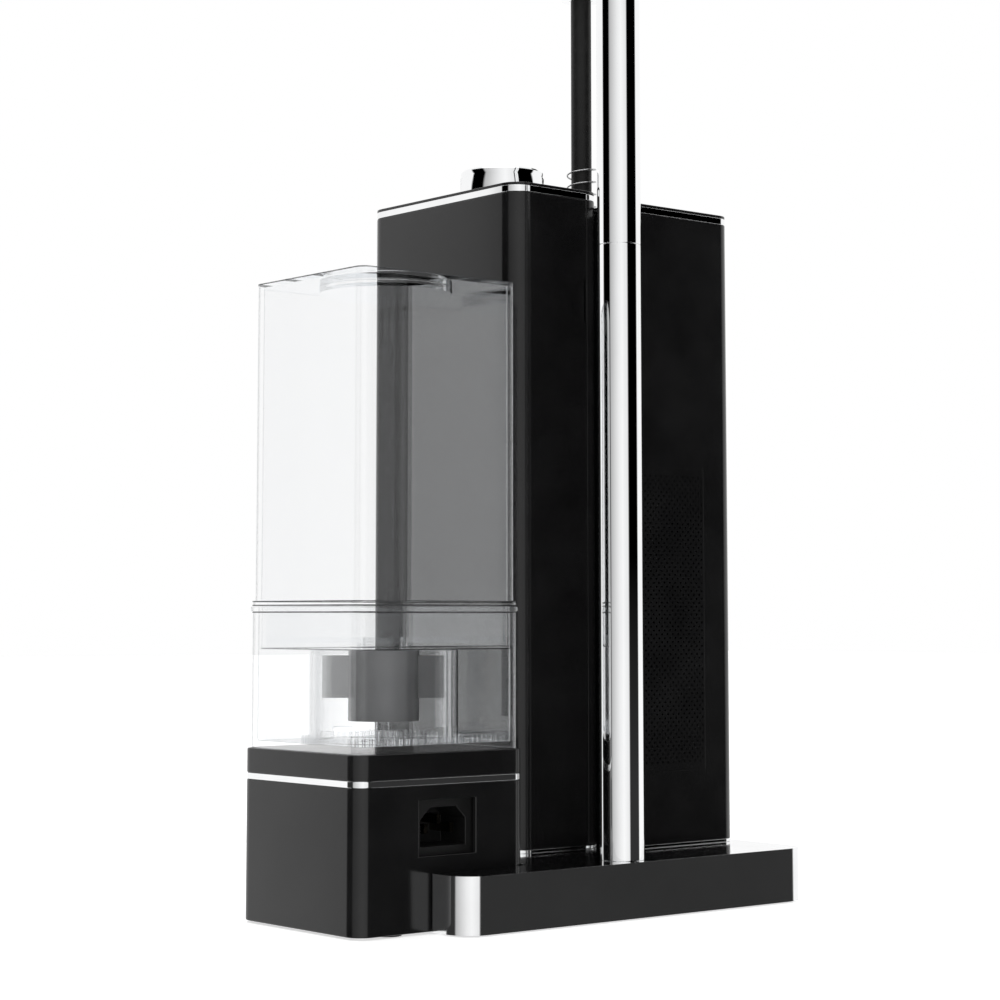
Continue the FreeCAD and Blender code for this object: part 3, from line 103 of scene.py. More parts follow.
# the cap's web and seal seat above its foot, its plunger hole and seat, and how its wings stand
CAP_WEB, CAP_SEAT_HEIGHT, CAP_HOLE, CAP_SEAT = 0.006, 0.008, 0.00185, 0.0095
WING_START, WING_ROOT = 0.010, 0.0015
HATCH_DEPTH, HATCH_FOOT, HATCH_TOP = 0.006, 0.0165, 0.014
PLUG_CORNER = 0.004
# the knob's outline from its dish to its side: steps in from its radius and down from its top
KNOB_OUTLINE = ((0.0042, 0.0008), (0.0034, 0), (0.0012, 0), (0.0003, 0.0009), (0.0003, 0.003),
                (0, 0.0034))
KNOB_DISH, KNOB_WALL, KNOB_SKIN, KNOB_FLUTES = 0.0008, 0.0022, 0.0044, 90
KNOB_FOOT_STEP, KNOB_FOOT_RISE = 0.0005, 0.0006
SHAFT_HOLE, BEZEL_CHAMFER = 0.004, 0.0003
# the slots in the module's back
SLOTS, SLOT_INSET, SLOT_LOW, SLOT_HIGH, SLOT_PITCH = 10, 0.016, 0.070, 0.075, 0.012
HOSE_HOLE = 0.0062
VENT_EDGE, VENT_SKIN, VENT_INSET = 0.0004, 0.0012, 0.2
# the arm from the pole's head to the hose, and the clip at its end
ARM_ROOT, ARM_HALF, ARM_END, ARM_RISE, ARM_TALL = 0.002, 0.0045, 0.0085, 0.001, 0.007
CLIP_FIT, CLIP_RADIUS, CLIP_TALL = 0.0006, 0.010, 0.009
NUT_LOW, NUT_HIGH, FITTING_BORE, NUT_STEPS = 0.009, 0.017, 0.004, 6 * 12
GLAND_FIT, GLAND_CHAMFER = 0.0009, 0.0015
COIL_STEPS, WIRE_STEPS = 40, 10


def length(name, text, default):
    return bpy.props.FloatProperty(name=name, description=text, default=default, min=0.0,
                                   unit="LENGTH", precision=4)


def colour(name, text, default):
    return bpy.props.FloatVectorProperty(name=name, description=text, default=default, size=3,
                                         min=0.0, max=1.0, subtype="COLOR")


class ApplianceSizes(bpy.types.PropertyGroup):
    base_corner: length("Base corner", "Radius of the base's upright corners", 0.008)
    shell_wall: length("Shell wall", "Thickness of the moulded cases", 0.0025)
    edge_round: length("Edge rounding", "Rounding along the edges of cases and caps", 0.0006)
    fine_round: length("Fine rounding", "Rounding along the edges of thin rims and clear parts",
                       0.0003)
    clear_wall: length("Clear wall", "Thickness of the tank's and the well's walls", 0.0025)
    inlet_lap: length("Inlet lap", "How far the inlet's plate reaches behind its pocket's edge",
                      0.0014)
    bead_out: length("Bead", "How far the well's top bead stands out", 0.0009)
    bead_height: length("Bead height", "Height of the well's top bead", 0.0022)
    rib_height: length("Rib height", "Height of the ribs on the well's floor", 0.0024)
    rib_thick: length("Rib thickness", "Thickness of the ribs on the well's floor", 0.0011)
    rib_pitch: length("Rib pitch", "Distance between the ribs on the well's floor", 0.0032)
    cup_slot: length("Cup slot", "Width of the drain slots in the cup", 0.010)
    line_proud: length("Edge line depth", "How far the lines along clear edges stand out", 0.00012)
    line_tall: length("Edge line height", "Height of the lines along clear edges", 0.0005)
    tank_corner: length("Tank corner", "Radius of the tank's upright corners", 0.005)
    flange_height: length("Flange height", "Thickness of the flange that the tank stands on",
                          0.0022)
    skirt_step: length("Skirt step", "From the flange's edge in to the skirt", 0.004)
    skirt_depth: length("Skirt depth", "From the flange down to the skirt's lower edge", 0.019)
    skirt_lip: length("Skirt lip", "How far the skirt reaches below the tank's floor", 0.003)
    lid_skin: length("Lid skin", "Thickness of the tank's top plate", 0.002)
    dish_radius: length("Dish radius", "Radius of the round dish in the tank's top", 0.028)
    neck_radius: length("Neck radius", "Outer radius of the tank's neck", 0.012)
    cap_radius: length("Cap radius", "Radius of the winged cap's barrel", 0.0157)
    wing_skin: length("Wing thickness", "Thickness of the cap's two wings", 0.007)
    wing_height: length("Wing height", "Height of the cap's two wings", 0.0186)
    wing_reach: length("Wing reach", "From the cap's axis to the end of a wing", 0.027)
    wing_turn: bpy.props.FloatProperty(
        name="Wing turn", description="Angle of the wings about the axis",
        default=math.radians(-40), subtype="ANGLE")
    foot_corner: length("Foot corner", "Radius of the foot's upright corners", 0.013)
    foot_inner_corner: length("Foot inner corner", "Radius of the foot's corner beside the base",
                              0.0020)
    foot_wall: length("Foot wall", "Thickness of the cast foot", 0.003)
    tower_corner: length("Tower corner", "Radius of the tower's upright corners", 0.010)
    module_corner: length("Module corner", "Radius of the module's upright corners", 0.008)
    notch_radius: length("Notch radius", "Radius of the finger notch beside the seam", 0.010)
    notch_depth: length("Notch depth", "Depth of the finger notch", 0.0016)
    notch_height: length("Notch height", "Height of the finger notch's middle", 0.284)
    hole_pitch: length("Vent pitch", "Distance between columns of vent holes", 0.00177)
    hole_rise: length("Vent rise", "Distance between the holes of one column", 0.00376)
    hole_radius: length("Vent hole", "Radius of one vent hole", 0.00058)
    flute_depth: length("Flute depth", "Depth of the fine flutes round the knob", 0.00012)
    pole_wall: length("Pole wall", "Wall of the chrome tube", 0.0015)
    hose_radius: length("Hose radius", "Radius of the hose", 0.0052)
    coil_radius: length("Relief radius", "Radius of the spring round the hose", 0.0072)
    coil_wire: length("Relief wire", "Radius of the relief spring's wire", 0.0004)
    coil_pitch: length("Relief pitch", "Rise of one turn of the relief spring", 0.0064)
    coil_turns: bpy.props.FloatProperty(
        name="Relief turns", description="Turns of the relief spring", default=4.1, min=1.0)


class ApplianceColours(bpy.types.PropertyGroup):
    case: colour("Case", "Satin black of the moulded cases", (0.006, 0.006, 0.0062))
    case_worn: colour("Case, handled", "Slightly lighter black where the case is handled",
                      (0.010, 0.010, 0.0102))
    satin: colour("Inner parts", "Dull black of the covers and inner parts",
                  (0.007, 0.007, 0.007))
    chrome: colour("Chrome", "Polished bright metal", (0.93, 0.935, 0.94))
    foot: colour("Foot", "Plated metal of the foot", (0.92, 0.925, 0.93))
    clear: colour("Clear plastic", "Tint of light that passes the clear plastic",
                  (0.992, 0.993, 0.994))
    # painted shade: this dark colour stands in for light lost inside the clear plastic, mixed in
    # where its surface turns away and along its edges
    rim: colour("Clear edge", "Darker tone along the edges of clear parts", (0.05, 0.052, 0.055))
    cap: colour("Cap", "Smoky grey of the tank's cap and valve", (0.125, 0.126, 0.128))
    rubber: colour("Rubber", "Black of the hose, seal and pads", (0.006, 0.006, 0.0058))
    tube: colour("Silicone", "Milky inner water tubes", (0.62, 0.63, 0.62))
    steel: colour("Steel", "Screws, shafts, springs and the heater", (0.56, 0.565, 0.57))
    brass: colour("Brass", "Tarnished blades of the mains inlet", (0.06, 0.052, 0.04))
    board: colour("Circuit board", "Green of the circuit boards", (0.012, 0.11, 0.035))
    floor: colour("Floor", "Pale floor", (0.92, 0.92, 0.92))


# ---------------------------------------------------------------- shader maths


class Socket:
    """An output of a material's node, on which sums are written as Python expressions."""

    def __init__(self, finish, output):
        self.finish = finish
        self.output = output

    def sum(self, operation, first, second):
        return self.finish.node("ShaderNodeMath", {"operation": operation}, {0: first, 1: second})

    def __add__(self, other):
        return self.sum("ADD", self, other)

    __radd__ = __add__

    def __mul__(self, other):
        return self.sum("MULTIPLY", self, other)

    __rmul__ = __mul__

    def __sub__(self, other):
        return self.sum("SUBTRACT", self, other)

    def __rsub__(self, other):
        return self.sum("SUBTRACT", other, self)

    def __pow__(self, other):
        return self.sum("POWER", self, other)


class Finish:
    """The nodes of a material or a world under construction."""

    def __init__(self, owner):
        owner.use_nodes = True
        self.owner = owner
        self.tree = owner.node_tree
        self.tree.nodes.clear()

    def node(self, kind, settings=None, sockets=None, output=0):
        """Add one node: its settings first, then the values or links of its sockets."""
        made = self.tree.nodes.new(kind)
        for name, value in (settings or {}).items():
            if name == "stops":
                stops = made.color_ramp.elements
                stops.remove(stops[1])
                stops[0].position = value[0][0]
                for place, level in value[1:]:
                    stops.new(place)
                for stop, (place, level) in zip(stops, value):
                    stop.color = (level, level, level, 1)
            else:
                setattr(made, name, value)
        for name, value in (sockets or {}).items():
            if isinstance(value, Socket):
                self.tree.links.new(value.output, made.inputs[name])
            else:
                made.inputs[name].default_value = value
        return Socket(self, made.outputs[output]) if made.outputs else None

    def place(self, stretch=(1, 1, 1)):
        """The piece's own coordinates, stretched so that a pattern can run along it."""
        here = self.node("ShaderNodeTexCoord", output="Object")
        return self.node("ShaderNodeMapping", {}, {"Vector": here, "Scale": stretch})

    def noise(self, scale, detail=3.0, stretch=(1, 1, 1)):
        return self.node("ShaderNodeTexNoise", {}, {"Vector": self.place(stretch), "Scale": scale,
                                                    "Detail": detail, "Roughness": 0.55})

    def ramp(self, value, low, high):
        return self.node("ShaderNodeValToRGB", {"stops": ((low, 0.0), (high, 1.0))}, {0: value})

    def mix(self, factor, first, second):
        """Between two colours."""
        return self.node("ShaderNodeMix", {"data_type": "RGBA"},
                         {0: factor, 6: tone(first), 7: tone(second)}, output=2)

    def along(self, aim, way):
        """How far a direction points one way."""
        return self.node("ShaderNodeVectorMath", {"operation": "DOT_PRODUCT"}, {0: aim, 1: way},
                         output="Value")

    def bump(self, height, strength, distance):
        return self.node("ShaderNodeBump", {}, {"Strength": strength, "Distance": distance,
                                                "Height": height})

    def surface(self, **values):
        """The glossy shader. Words in a name stand for the socket's words."""
        return self.node("ShaderNodeBsdfPrincipled", {},
                         {name.replace("_", " "): value for name, value in values.items()})

    def done(self, shader, kind="ShaderNodeOutputMaterial"):
        self.node(kind, {}, {"Surface": shader})
        return self.owner


def tone(value):
    return value if isinstance(value, Socket) or len(value) == 4 else (*value, 1.0)


def scaled(value, amount):
    """A colour made lighter or darker."""
    return [amount * part for part in value]


def palette():
    return bpy.context.scene.appliance_colours


def material(name):
    return Finish(bpy.data.materials.new(name))


def black_gloss():
    """Satin black moulding: fine spark texture, faint handling marks."""
    finish = material("black_gloss")
    marks = finish.ramp(finish.noise(34.0, detail=5.0), 0.38, 0.72)
    grain = finish.noise(5200.0, detail=2.0)
    return finish.done(finish.surface(
        Base_Color=finish.mix(marks, palette().case, palette().case_worn),
        Roughness=0.12 + grain * 0.04 + marks * 0.03, Specular_IOR_Level=0.4,
        Normal=finish.bump(grain, strength=0.02, distance=0.00001)))


def black_satin():
    """Duller black plastic of the covers, fan and inlet."""
    finish = material("black_satin")
    grain = finish.noise(3600.0, detail=3.0)
    cloud = finish.ramp(finish.noise(60.0, detail=4.0), 0.35, 0.7)
    return finish.done(finish.surface(
        Base_Color=finish.mix(cloud, palette().satin, palette().case),
        Roughness=0.38 + grain * 0.12, Normal=finish.bump(grain, strength=0.12, distance=0.00004)))


def chrome():
    """Polished chrome plate with faint wiping marks."""
    finish = material("chrome")
    wipe = finish.ramp(finish.noise(55.0, detail=6.0, stretch=(1, 1, 0.25)), 0.45, 0.8)
    dull = scaled(palette().chrome, 0.93)
    return finish.done(finish.surface(
        Base_Color=finish.mix(wipe, palette().chrome, dull), Metallic=1.0,
        Roughness=0.035 + wipe * 0.03, Normal=finish.bump(wipe, strength=0.01, distance=0.00002)))


def foot_metal():
    """Plated casting, nearly a mirror, with a very fine orange peel."""
    finish = material("foot_metal")
    peel = finish.noise(900.0, detail=2.0)
    cloud = finish.ramp(finish.noise(28.0, detail=4.0), 0.35, 0.75)
    deep = scaled(palette().foot, 0.9)
    return finish.done(finish.surface(
        Base_Color=finish.mix(cloud, palette().foot, deep), Metallic=1.0,
        Roughness=0.08 + cloud * 0.03, Normal=finish.bump(peel, strength=0.012, distance=0.00002)))


def clear_plastic():
    """Clear moulded plastic: light passes straight through, less where the surface turns away, and
    there a dark colour is mixed in as painted shade.
    """
    finish = material("clear_plastic")
    ripple = finish.noise(30.0, detail=2.0)
    haze = finish.ramp(finish.noise(160.0, detail=5.0), 0.5, 0.9)
    through = finish.node("ShaderNodeBsdfTransparent", {}, {"Color": tone(palette().clear)})
    wave = finish.bump(ripple, strength=0.03, distance=0.0002)
    shine = finish.surface(Base_Color=tone((0.95, 0.96, 0.97)), Metallic=1.0,
                           Roughness=0.01 + haze * 0.02, Normal=wave)
    # painted shade: the dark colour that edge mixes in where the surface turns away from the view
    dark = finish.surface(Base_Color=tone(palette().rim), Roughness=0.12, Normal=wave)
    turned_away = finish.node("ShaderNodeLayerWeight", {}, {"Blend": 0.5}, output="Facing")
    edge = (turned_away ** 7.0) * 0.5
    mirror = (turned_away ** 3.0) * 1.6 + (haze * 0.004 + 0.025)
    body = finish.node("ShaderNodeMixShader", {}, {0: edge, 1: through, 2: dark})
    return finish.done(finish.node("ShaderNodeMixShader", {}, {0: mirror, 1: body, 2: shine}))


def painted_edge_shade():
    """Painted shade: a line of darker colour along the edges of the clear parts, in place of the
    light caught inside the plastic there.
    """
    finish = material("painted_edge_shade")
    catch = finish.ramp(finish.noise(150.0, detail=4.0), 0.35, 0.65)
    through = finish.node("ShaderNodeBsdfTransparent", {}, {"Color": tone(palette().clear)})
    dark = finish.surface(Base_Color=tone(palette().rim), Roughness=0.08 + catch * 0.1)
    return finish.done(finish.node("ShaderNodeMixShader", {},
                                   {0: catch * 0.35 + 0.4, 1: through, 2: dark}))


def grey_plastic():
    """Smoky grey plastic of the cap, valve and filter."""
    finish = material("grey_plastic")
    cloud = finish.ramp(finish.noise(90.0, detail=4.0), 0.3, 0.8)
    light = scaled(palette().cap, 1.25)
    return finish.done(finish.surface(
        Base_Color=finish.mix(cloud, palette().cap, light), Roughness=0.3 + cloud * 0.1,
        Normal=finish.bump(finish.noise(1800.0, detail=2.0), strength=0.06, distance=0.00003)))


def rubber():
    """Matt black rubber with a dusty bloom."""
    finish = material("rubber")
    bloom = finish.ramp(finish.noise(220.0, detail=6.0), 0.45, 0.85)
    dusty = scaled(palette().rubber, 2.0)
    return finish.done(finish.surface(
        Base_Color=finish.mix(bloom, palette().rubber, dusty), Roughness=0.48 + bloom * 0.14,
        Specular_IOR_Level=0.3,
        Normal=finish.bump(finish.noise(2600.0, detail=3.0), strength=0.18, distance=0.00005)))


def silicone():
    """Milky silicone of the inner water tubes."""
    finish = material("tube")
    cloud = finish.ramp(finish.noise(120.0, detail=4.0), 0.3, 0.8)
    shade = scaled(palette().tube, 0.86)
    return finish.done(finish.surface(
        Base_Color=finish.mix(cloud, palette().tube, shade), Roughness=0.32 + cloud * 0.08,
        Normal=finish.bump(cloud, strength=0.05, distance=0.0001)))


def steel():
    """Bright drawn steel with fine lines along it."""
    finish = material("steel")
    lines = finish.noise(1400.0, detail=3.0, stretch=(1, 1, 0.04))
    dark = scaled(palette().steel, 0.78)
    return finish.done(finish.surface(
        Base_Color=finish.mix(lines, palette().steel, dark), Metallic=1.0,
        Roughness=0.24 + lines * 0.16, Normal=finish.bump(lines, strength=0.08, distance=0.00003)))


def brass():
    """Brass with a light tarnish."""
    finish = material("brass")
    tarnish = finish.ramp(finish.noise(500.0, detail=6.0), 0.45, 0.75)
    dark = scaled(palette().brass, 0.6)
    return finish.done(finish.surface(
        Base_Color=finish.mix(tarnish, palette().brass, dark), Metallic=1.0,
        Roughness=0.22 + tarnish * 0.25,
        Normal=finish.bump(tarnish, strength=0.05, distance=0.00003)))


def board():
    """Green circuit board with raised tracks under its lacquer."""
    finish = material("board")
    tracks = finish.node("ShaderNodeTexBrick", {}, {"Vector": finish.place(), "Scale": 160.0,
                                                    "Mortar Size": 0.06}, output="Fac")
    light = scaled(palette().board, 1.9)
    return finish.done(finish.surface(
        Base_Color=finish.mix(tracks, palette().board, light), Roughness=0.3 + tracks * 0.12,
        Normal=finish.bump(tracks, strength=0.2, distance=0.00004)))


FINISHES = {}
MAKERS = {
    "black_gloss": black_gloss, "black_satin": black_satin, "chrome": chrome,
    "foot_metal": foot_metal, "clear_plastic": clear_plastic, "painted_edge_shade": painted_edge_shade,
    "grey_plastic": grey_plastic, "rubber": rubber, "tube": silicone, "steel": steel,
    "brass": brass, "board": board,
}


# ---------------------------------------------------------------- modelling


def block(low, high, corner=0.0, steps=10):
    """A box between two corners, with its upright edges rounded."""
    mesh = bmesh.new()
    low, high = Vector(low), Vector(high)
    verts = bmesh.ops.create_cube(mesh, size=1.0)["verts"]
    bmesh.ops.scale(mesh, vec=high - low, verts=verts)
    bmesh.ops.translate(mesh, vec=(low + high) / 2, verts=verts)
    if corner:
        upright = [edge for edge in mesh.edges
                   if abs(edge.verts[0].co.z - edge.verts[1].co.z) > (high.z - low.z) / 2]
        bmesh.ops.bevel(mesh, geom=upright, offset=corner, segments=steps, profile=0.5,
                        affect="EDGES", material=-1)
    return mesh


def end_face(mesh, pick):
    """The top (max) or bottom (min) face of a block."""
    return pick(mesh.faces, key=lambda face: face.calc_center_median().z)


def ring(low, high, corner, wall):
    """A rounded rectangular sleeve, open above and below."""
    mesh = block(low, high, corner)
    loops = []
    for pick in (max, min):
        face = end_face(mesh, pick)
        bmesh.ops.inset_region(mesh, faces=[face], thickness=wall, use_even_offset=True)
        loops += list(face.edges)
        bmesh.ops.delete(mesh, geom=[face], context="FACES_ONLY")
    bmesh.ops.bridge_loops(mesh, edges=loops)
    bmesh.ops.recalc_face_normals(mesh, faces=mesh.faces)
    return mesh


def extrude(mesh, faces, step, keep_first=False):
    """Grow walls from faces, and move the new faces by a step."""
    grown = bmesh.ops.extrude_face_region(mesh, geom=faces, use_keep_orig=keep_first)["geom"]
    verts = [item for item in grown if isinstance(item, bmesh.types.BMVert)]
    bmesh.ops.translate(mesh, vec=step, verts=verts)


def hollow(mesh, pick, wall, depth):
    """Sink the top or bottom face of a block, leaving a wall round it."""
    face = end_face(mesh, pick)
    bmesh.ops.inset_region(mesh, faces=[face], thickness=wall, use_even_offset=True)
    extrude(mesh, [face], UP * depth)
    bmesh.ops.delete(mesh, geom=[face], context="FACES_ONLY")
    bmesh.ops.recalc_face_normals(mesh, faces=mesh.faces)
    return mesh


def turned(centre, outline, steps=96):
    """A lathe-turned solid, from pairs of radius and height.

    An outline that starts on the axis ends on it.
    """
    mesh = bmesh.new()
    verts = [mesh.verts.new((centre[0] + radius, centre[1], height)) for radius, height in outline]
    on_axis = outline[0][0] == 0
    follow = verts[1:] if on_axis else verts[1:] + verts[:1]
    edges = [mesh.edges.new(pair) for pair in zip(verts, follow)]
    bmesh.ops.spin(mesh, geom=verts + edges, cent=(centre[0], centre[1], 0), axis=UP,
                   angle=2 * math.pi, steps=steps, use_merge=True)
    bmesh.ops.remove_doubles(mesh, verts=mesh.verts, dist=1e-6)
    bmesh.ops.recalc_face_normals(mesh, faces=mesh.faces)
    return mesh


def pipe(centre, bore, radius, low, high, steps=96):
    """A plain upright tube."""
    return turned(centre, ((bore, low), (radius, low), (radius, high), (bore, high)), steps)


def swing(mesh, angle, centre):
    """Turn a mesh about the upright axis, then stand it on a centre."""
    bmesh.ops.rotate(mesh, cent=(0, 0, 0), matrix=Matrix.Rotation(angle, 3, "Z"), verts=mesh.verts)
    bmesh.ops.translate(mesh, vec=(centre.x, centre.y, 0), verts=mesh.verts)


def drum(middle, radius, depth, axis="Z", steps=64):
    """A plain cylinder about its middle, for cutting."""
    turn = Matrix.Rotation(math.pi / 2, 4, "X") if axis == "Y" else Matrix.Identity(4)
    mesh = bmesh.new()
    bmesh.ops.create_cone(mesh, cap_ends=True, segments=steps, radius1=radius, radius2=radius,
                          depth=depth, matrix=Matrix.Translation(middle) @ turn)
    return mesh


def joined(*meshes):
    """Several meshes as one."""
    whole = bmesh.new()
    for mesh in meshes:
        spare = stored("spare", mesh)
        whole.from_mesh(spare)
        bpy.data.meshes.remove(spare)
    return whole


def stored(name, mesh):
    """A bmesh written to mesh data, and freed."""
    data = bpy.data.meshes.new(name)
    mesh.to_mesh(data)
    mesh.free()
    return data


def linked(name, data):
    """A new object in the scene."""
    thing = bpy.data.objects.new(name, data)
    bpy.context.scene.collection.objects.link(thing)
    return thing


def loose(mesh):
    """A working object that never joins the finished appliance."""
    return linked("working", stored("working", mesh))


def carve(mesh, *cutters, operation="DIFFERENCE"):
    """Cut one mesh with others."""
    work = loose(mesh)
    tools = [loose(cutter) for cutter in cutters]
    for tool in tools:
        change = work.modifiers.new("carve", "BOOLEAN")
        change.operation = operation
        change.solver = "EXACT"
        change.object = tool
    bpy.context.view_layer.update()
    shown = work.evaluated_get(bpy.context.evaluated_depsgraph_get())
    result = bpy.data.meshes.new_from_object(shown)
    carved = bmesh.new()
    carved.from_mesh(result)
    bpy.data.meshes.remove(result)
    for thing in [work, *tools]:
        data = thing.data
        bpy.data.objects.remove(thing)
        bpy.data.meshes.remove(data)
    return carved


def keep(name, mesh, body, finish, nodes, edge=0.0, segments=3):
    """Turn a mesh into a finished piece that rides on a body and stands for CAD nodes."""
    data = stored(name, mesh)
    data.materials.append(FINISHES[finish])
    data.shade_smooth()
    data.set_sharp_from_angle(angle=math.radians(32))
    piece = linked(name, data)
    if edge:
        rounding = piece.modifiers.new("rounding", "BEVEL")
        rounding.width = edge
        rounding.segments = segments
        rounding.limit_method = "ANGLE"
        rounding.angle_limit = math.radians(40)
        rounding.harden_normals = True
    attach(piece, body)
    if nodes:
        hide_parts(*nodes)
    return piece


def edge_line(low, high, height, corner, size):
    """A thin line round a clear part, just proud of its walls."""
    proud = shrunk(low, high, -size.line_proud)
    return ring(*at_heights(*proud, height, height + size.line_tall), corner, 3 * size.line_proud)


def shrunk(low, high, amount):
    """Two corners drawn in by an amount in x and y."""
    step = Vector((amount, amount, 0))
    return low + step, high - step


def at_heights(low, high, bottom, top):
    return Vector((low.x, low.y, bottom)), Vector((high.x, high.y, top))


def case_floor(low, high, corner, wall):
    """The bottom plate inside a case."""
    return block(*at_heights(*shrunk(low, high, wall + CLEARANCE), low.z, low.z + wall),
                 corner - wall)


def middle(node):
    low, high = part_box(node)
    return (low + high) / 2


# ---------------------------------------------------------------- operators


class APPLIANCE_OT_finishes(bpy.types.Operator):
    """Make every finish and give each visible frame part its own"""
    bl_idname = "appliance.finishes"
    bl_label = "Finishes"

    def execute(self, context):
        for name, maker in MAKERS.items():
            FINISHES[name] = maker()
        for part in frame["record"]["subparts"]:
            for place in frame["nodes"][part["node"]].material_slots:
                place.material = FINISHES[part["material_slot"]]
        return {"FINISHED"}


class APPLIANCE_OT_base(bpy.types.Operator):
    """Base case with its inlet pocket, chrome band and deck"""
    bl_idname = "appliance.base"
    bl_label = "Base"

    def execute(self, context):
        size = context.scene.appliance_sizes
        low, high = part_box("base_shell")
        plate_low, plate_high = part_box("inlet_socket")
        pocket = Vector((size.inlet_lap, 0, size.inlet_lap))
        mouth = block(Vector((plate_low.x, low.y - THROUGH, plate_low.z)) + pocket,
                      Vector((plate_high.x, low.y + REACH, plate_high.z)) - pocket)
        case = carve(ring(low, high, size.base_corner, size.shell_wall), mouth)
        keep("base_case", case, "appliance", "black_gloss", ["base_shell"], size.edge_round)
        low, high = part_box("chrome_band")
        keep("base_band", ring(low, high, size.base_corner, size.shell_wall), "appliance", "chrome",
             ["chrome_band"], size.fine_round)
        low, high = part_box("base_deck")
        deck = hollow(block(low, high, size.base_corner), min, size.shell_wall,
                      high.z - low.z - DECK_SKIN)
        keep("deck", deck, "appliance", "black_gloss", ["base_deck"], size.edge_round)
        return {"FINISHED"}


class APPLIANCE_OT_inlet(bpy.types.Operator):
    """Mains inlet with its chamfered cavity"""
    bl_idname = "appliance.inlet"
    bl_label = "Mains inlet"

    def execute(self, context):
        size = context.scene.appliance_sizes
        low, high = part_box("inlet_socket")
        centre = middle("inlet_socket")
        plate = block(low, Vector((high.x, low.y + INLET_PLATE, high.z)))
        barrel = block((centre.x - BARREL_HALF[0], low.y + THROUGH, centre.z - BARREL_HALF[1]),
                       (centre.x + BARREL_HALF[0], high.y, centre.z + BARREL_HALF[1]))
        cavity = bmesh.new()
        verts = bmesh.ops.create_cube(cavity, size=1.0)["verts"]
        bmesh.ops.scale(cavity, vec=CAVITY, verts=verts)
        bmesh.ops.translate(cavity, vec=(centre.x, low.y + CAVITY_DEPTH, centre.z), verts=verts)
        upper = [edge for edge in cavity.edges
                 if abs(edge.calc_length() - CAVITY[1]) < 0.2 * NEAR
                 and edge.verts[0].co.z > centre.z]
        bmesh.ops.bevel(cavity, geom=upper, offset=CAVITY_CHAMFER, segments=1, profile=0.5,
                        affect="EDGES", material=-1)
        bmesh.ops.recalc_face_normals(cavity, faces=cavity.faces)
        socket = carve(carve(plate, barrel, operation="UNION"), cavity)
        keep("inlet_body", socket, "appliance", "black_satin", ["inlet_socket"], size.fine_round, 2)
        return {"FINISHED"}


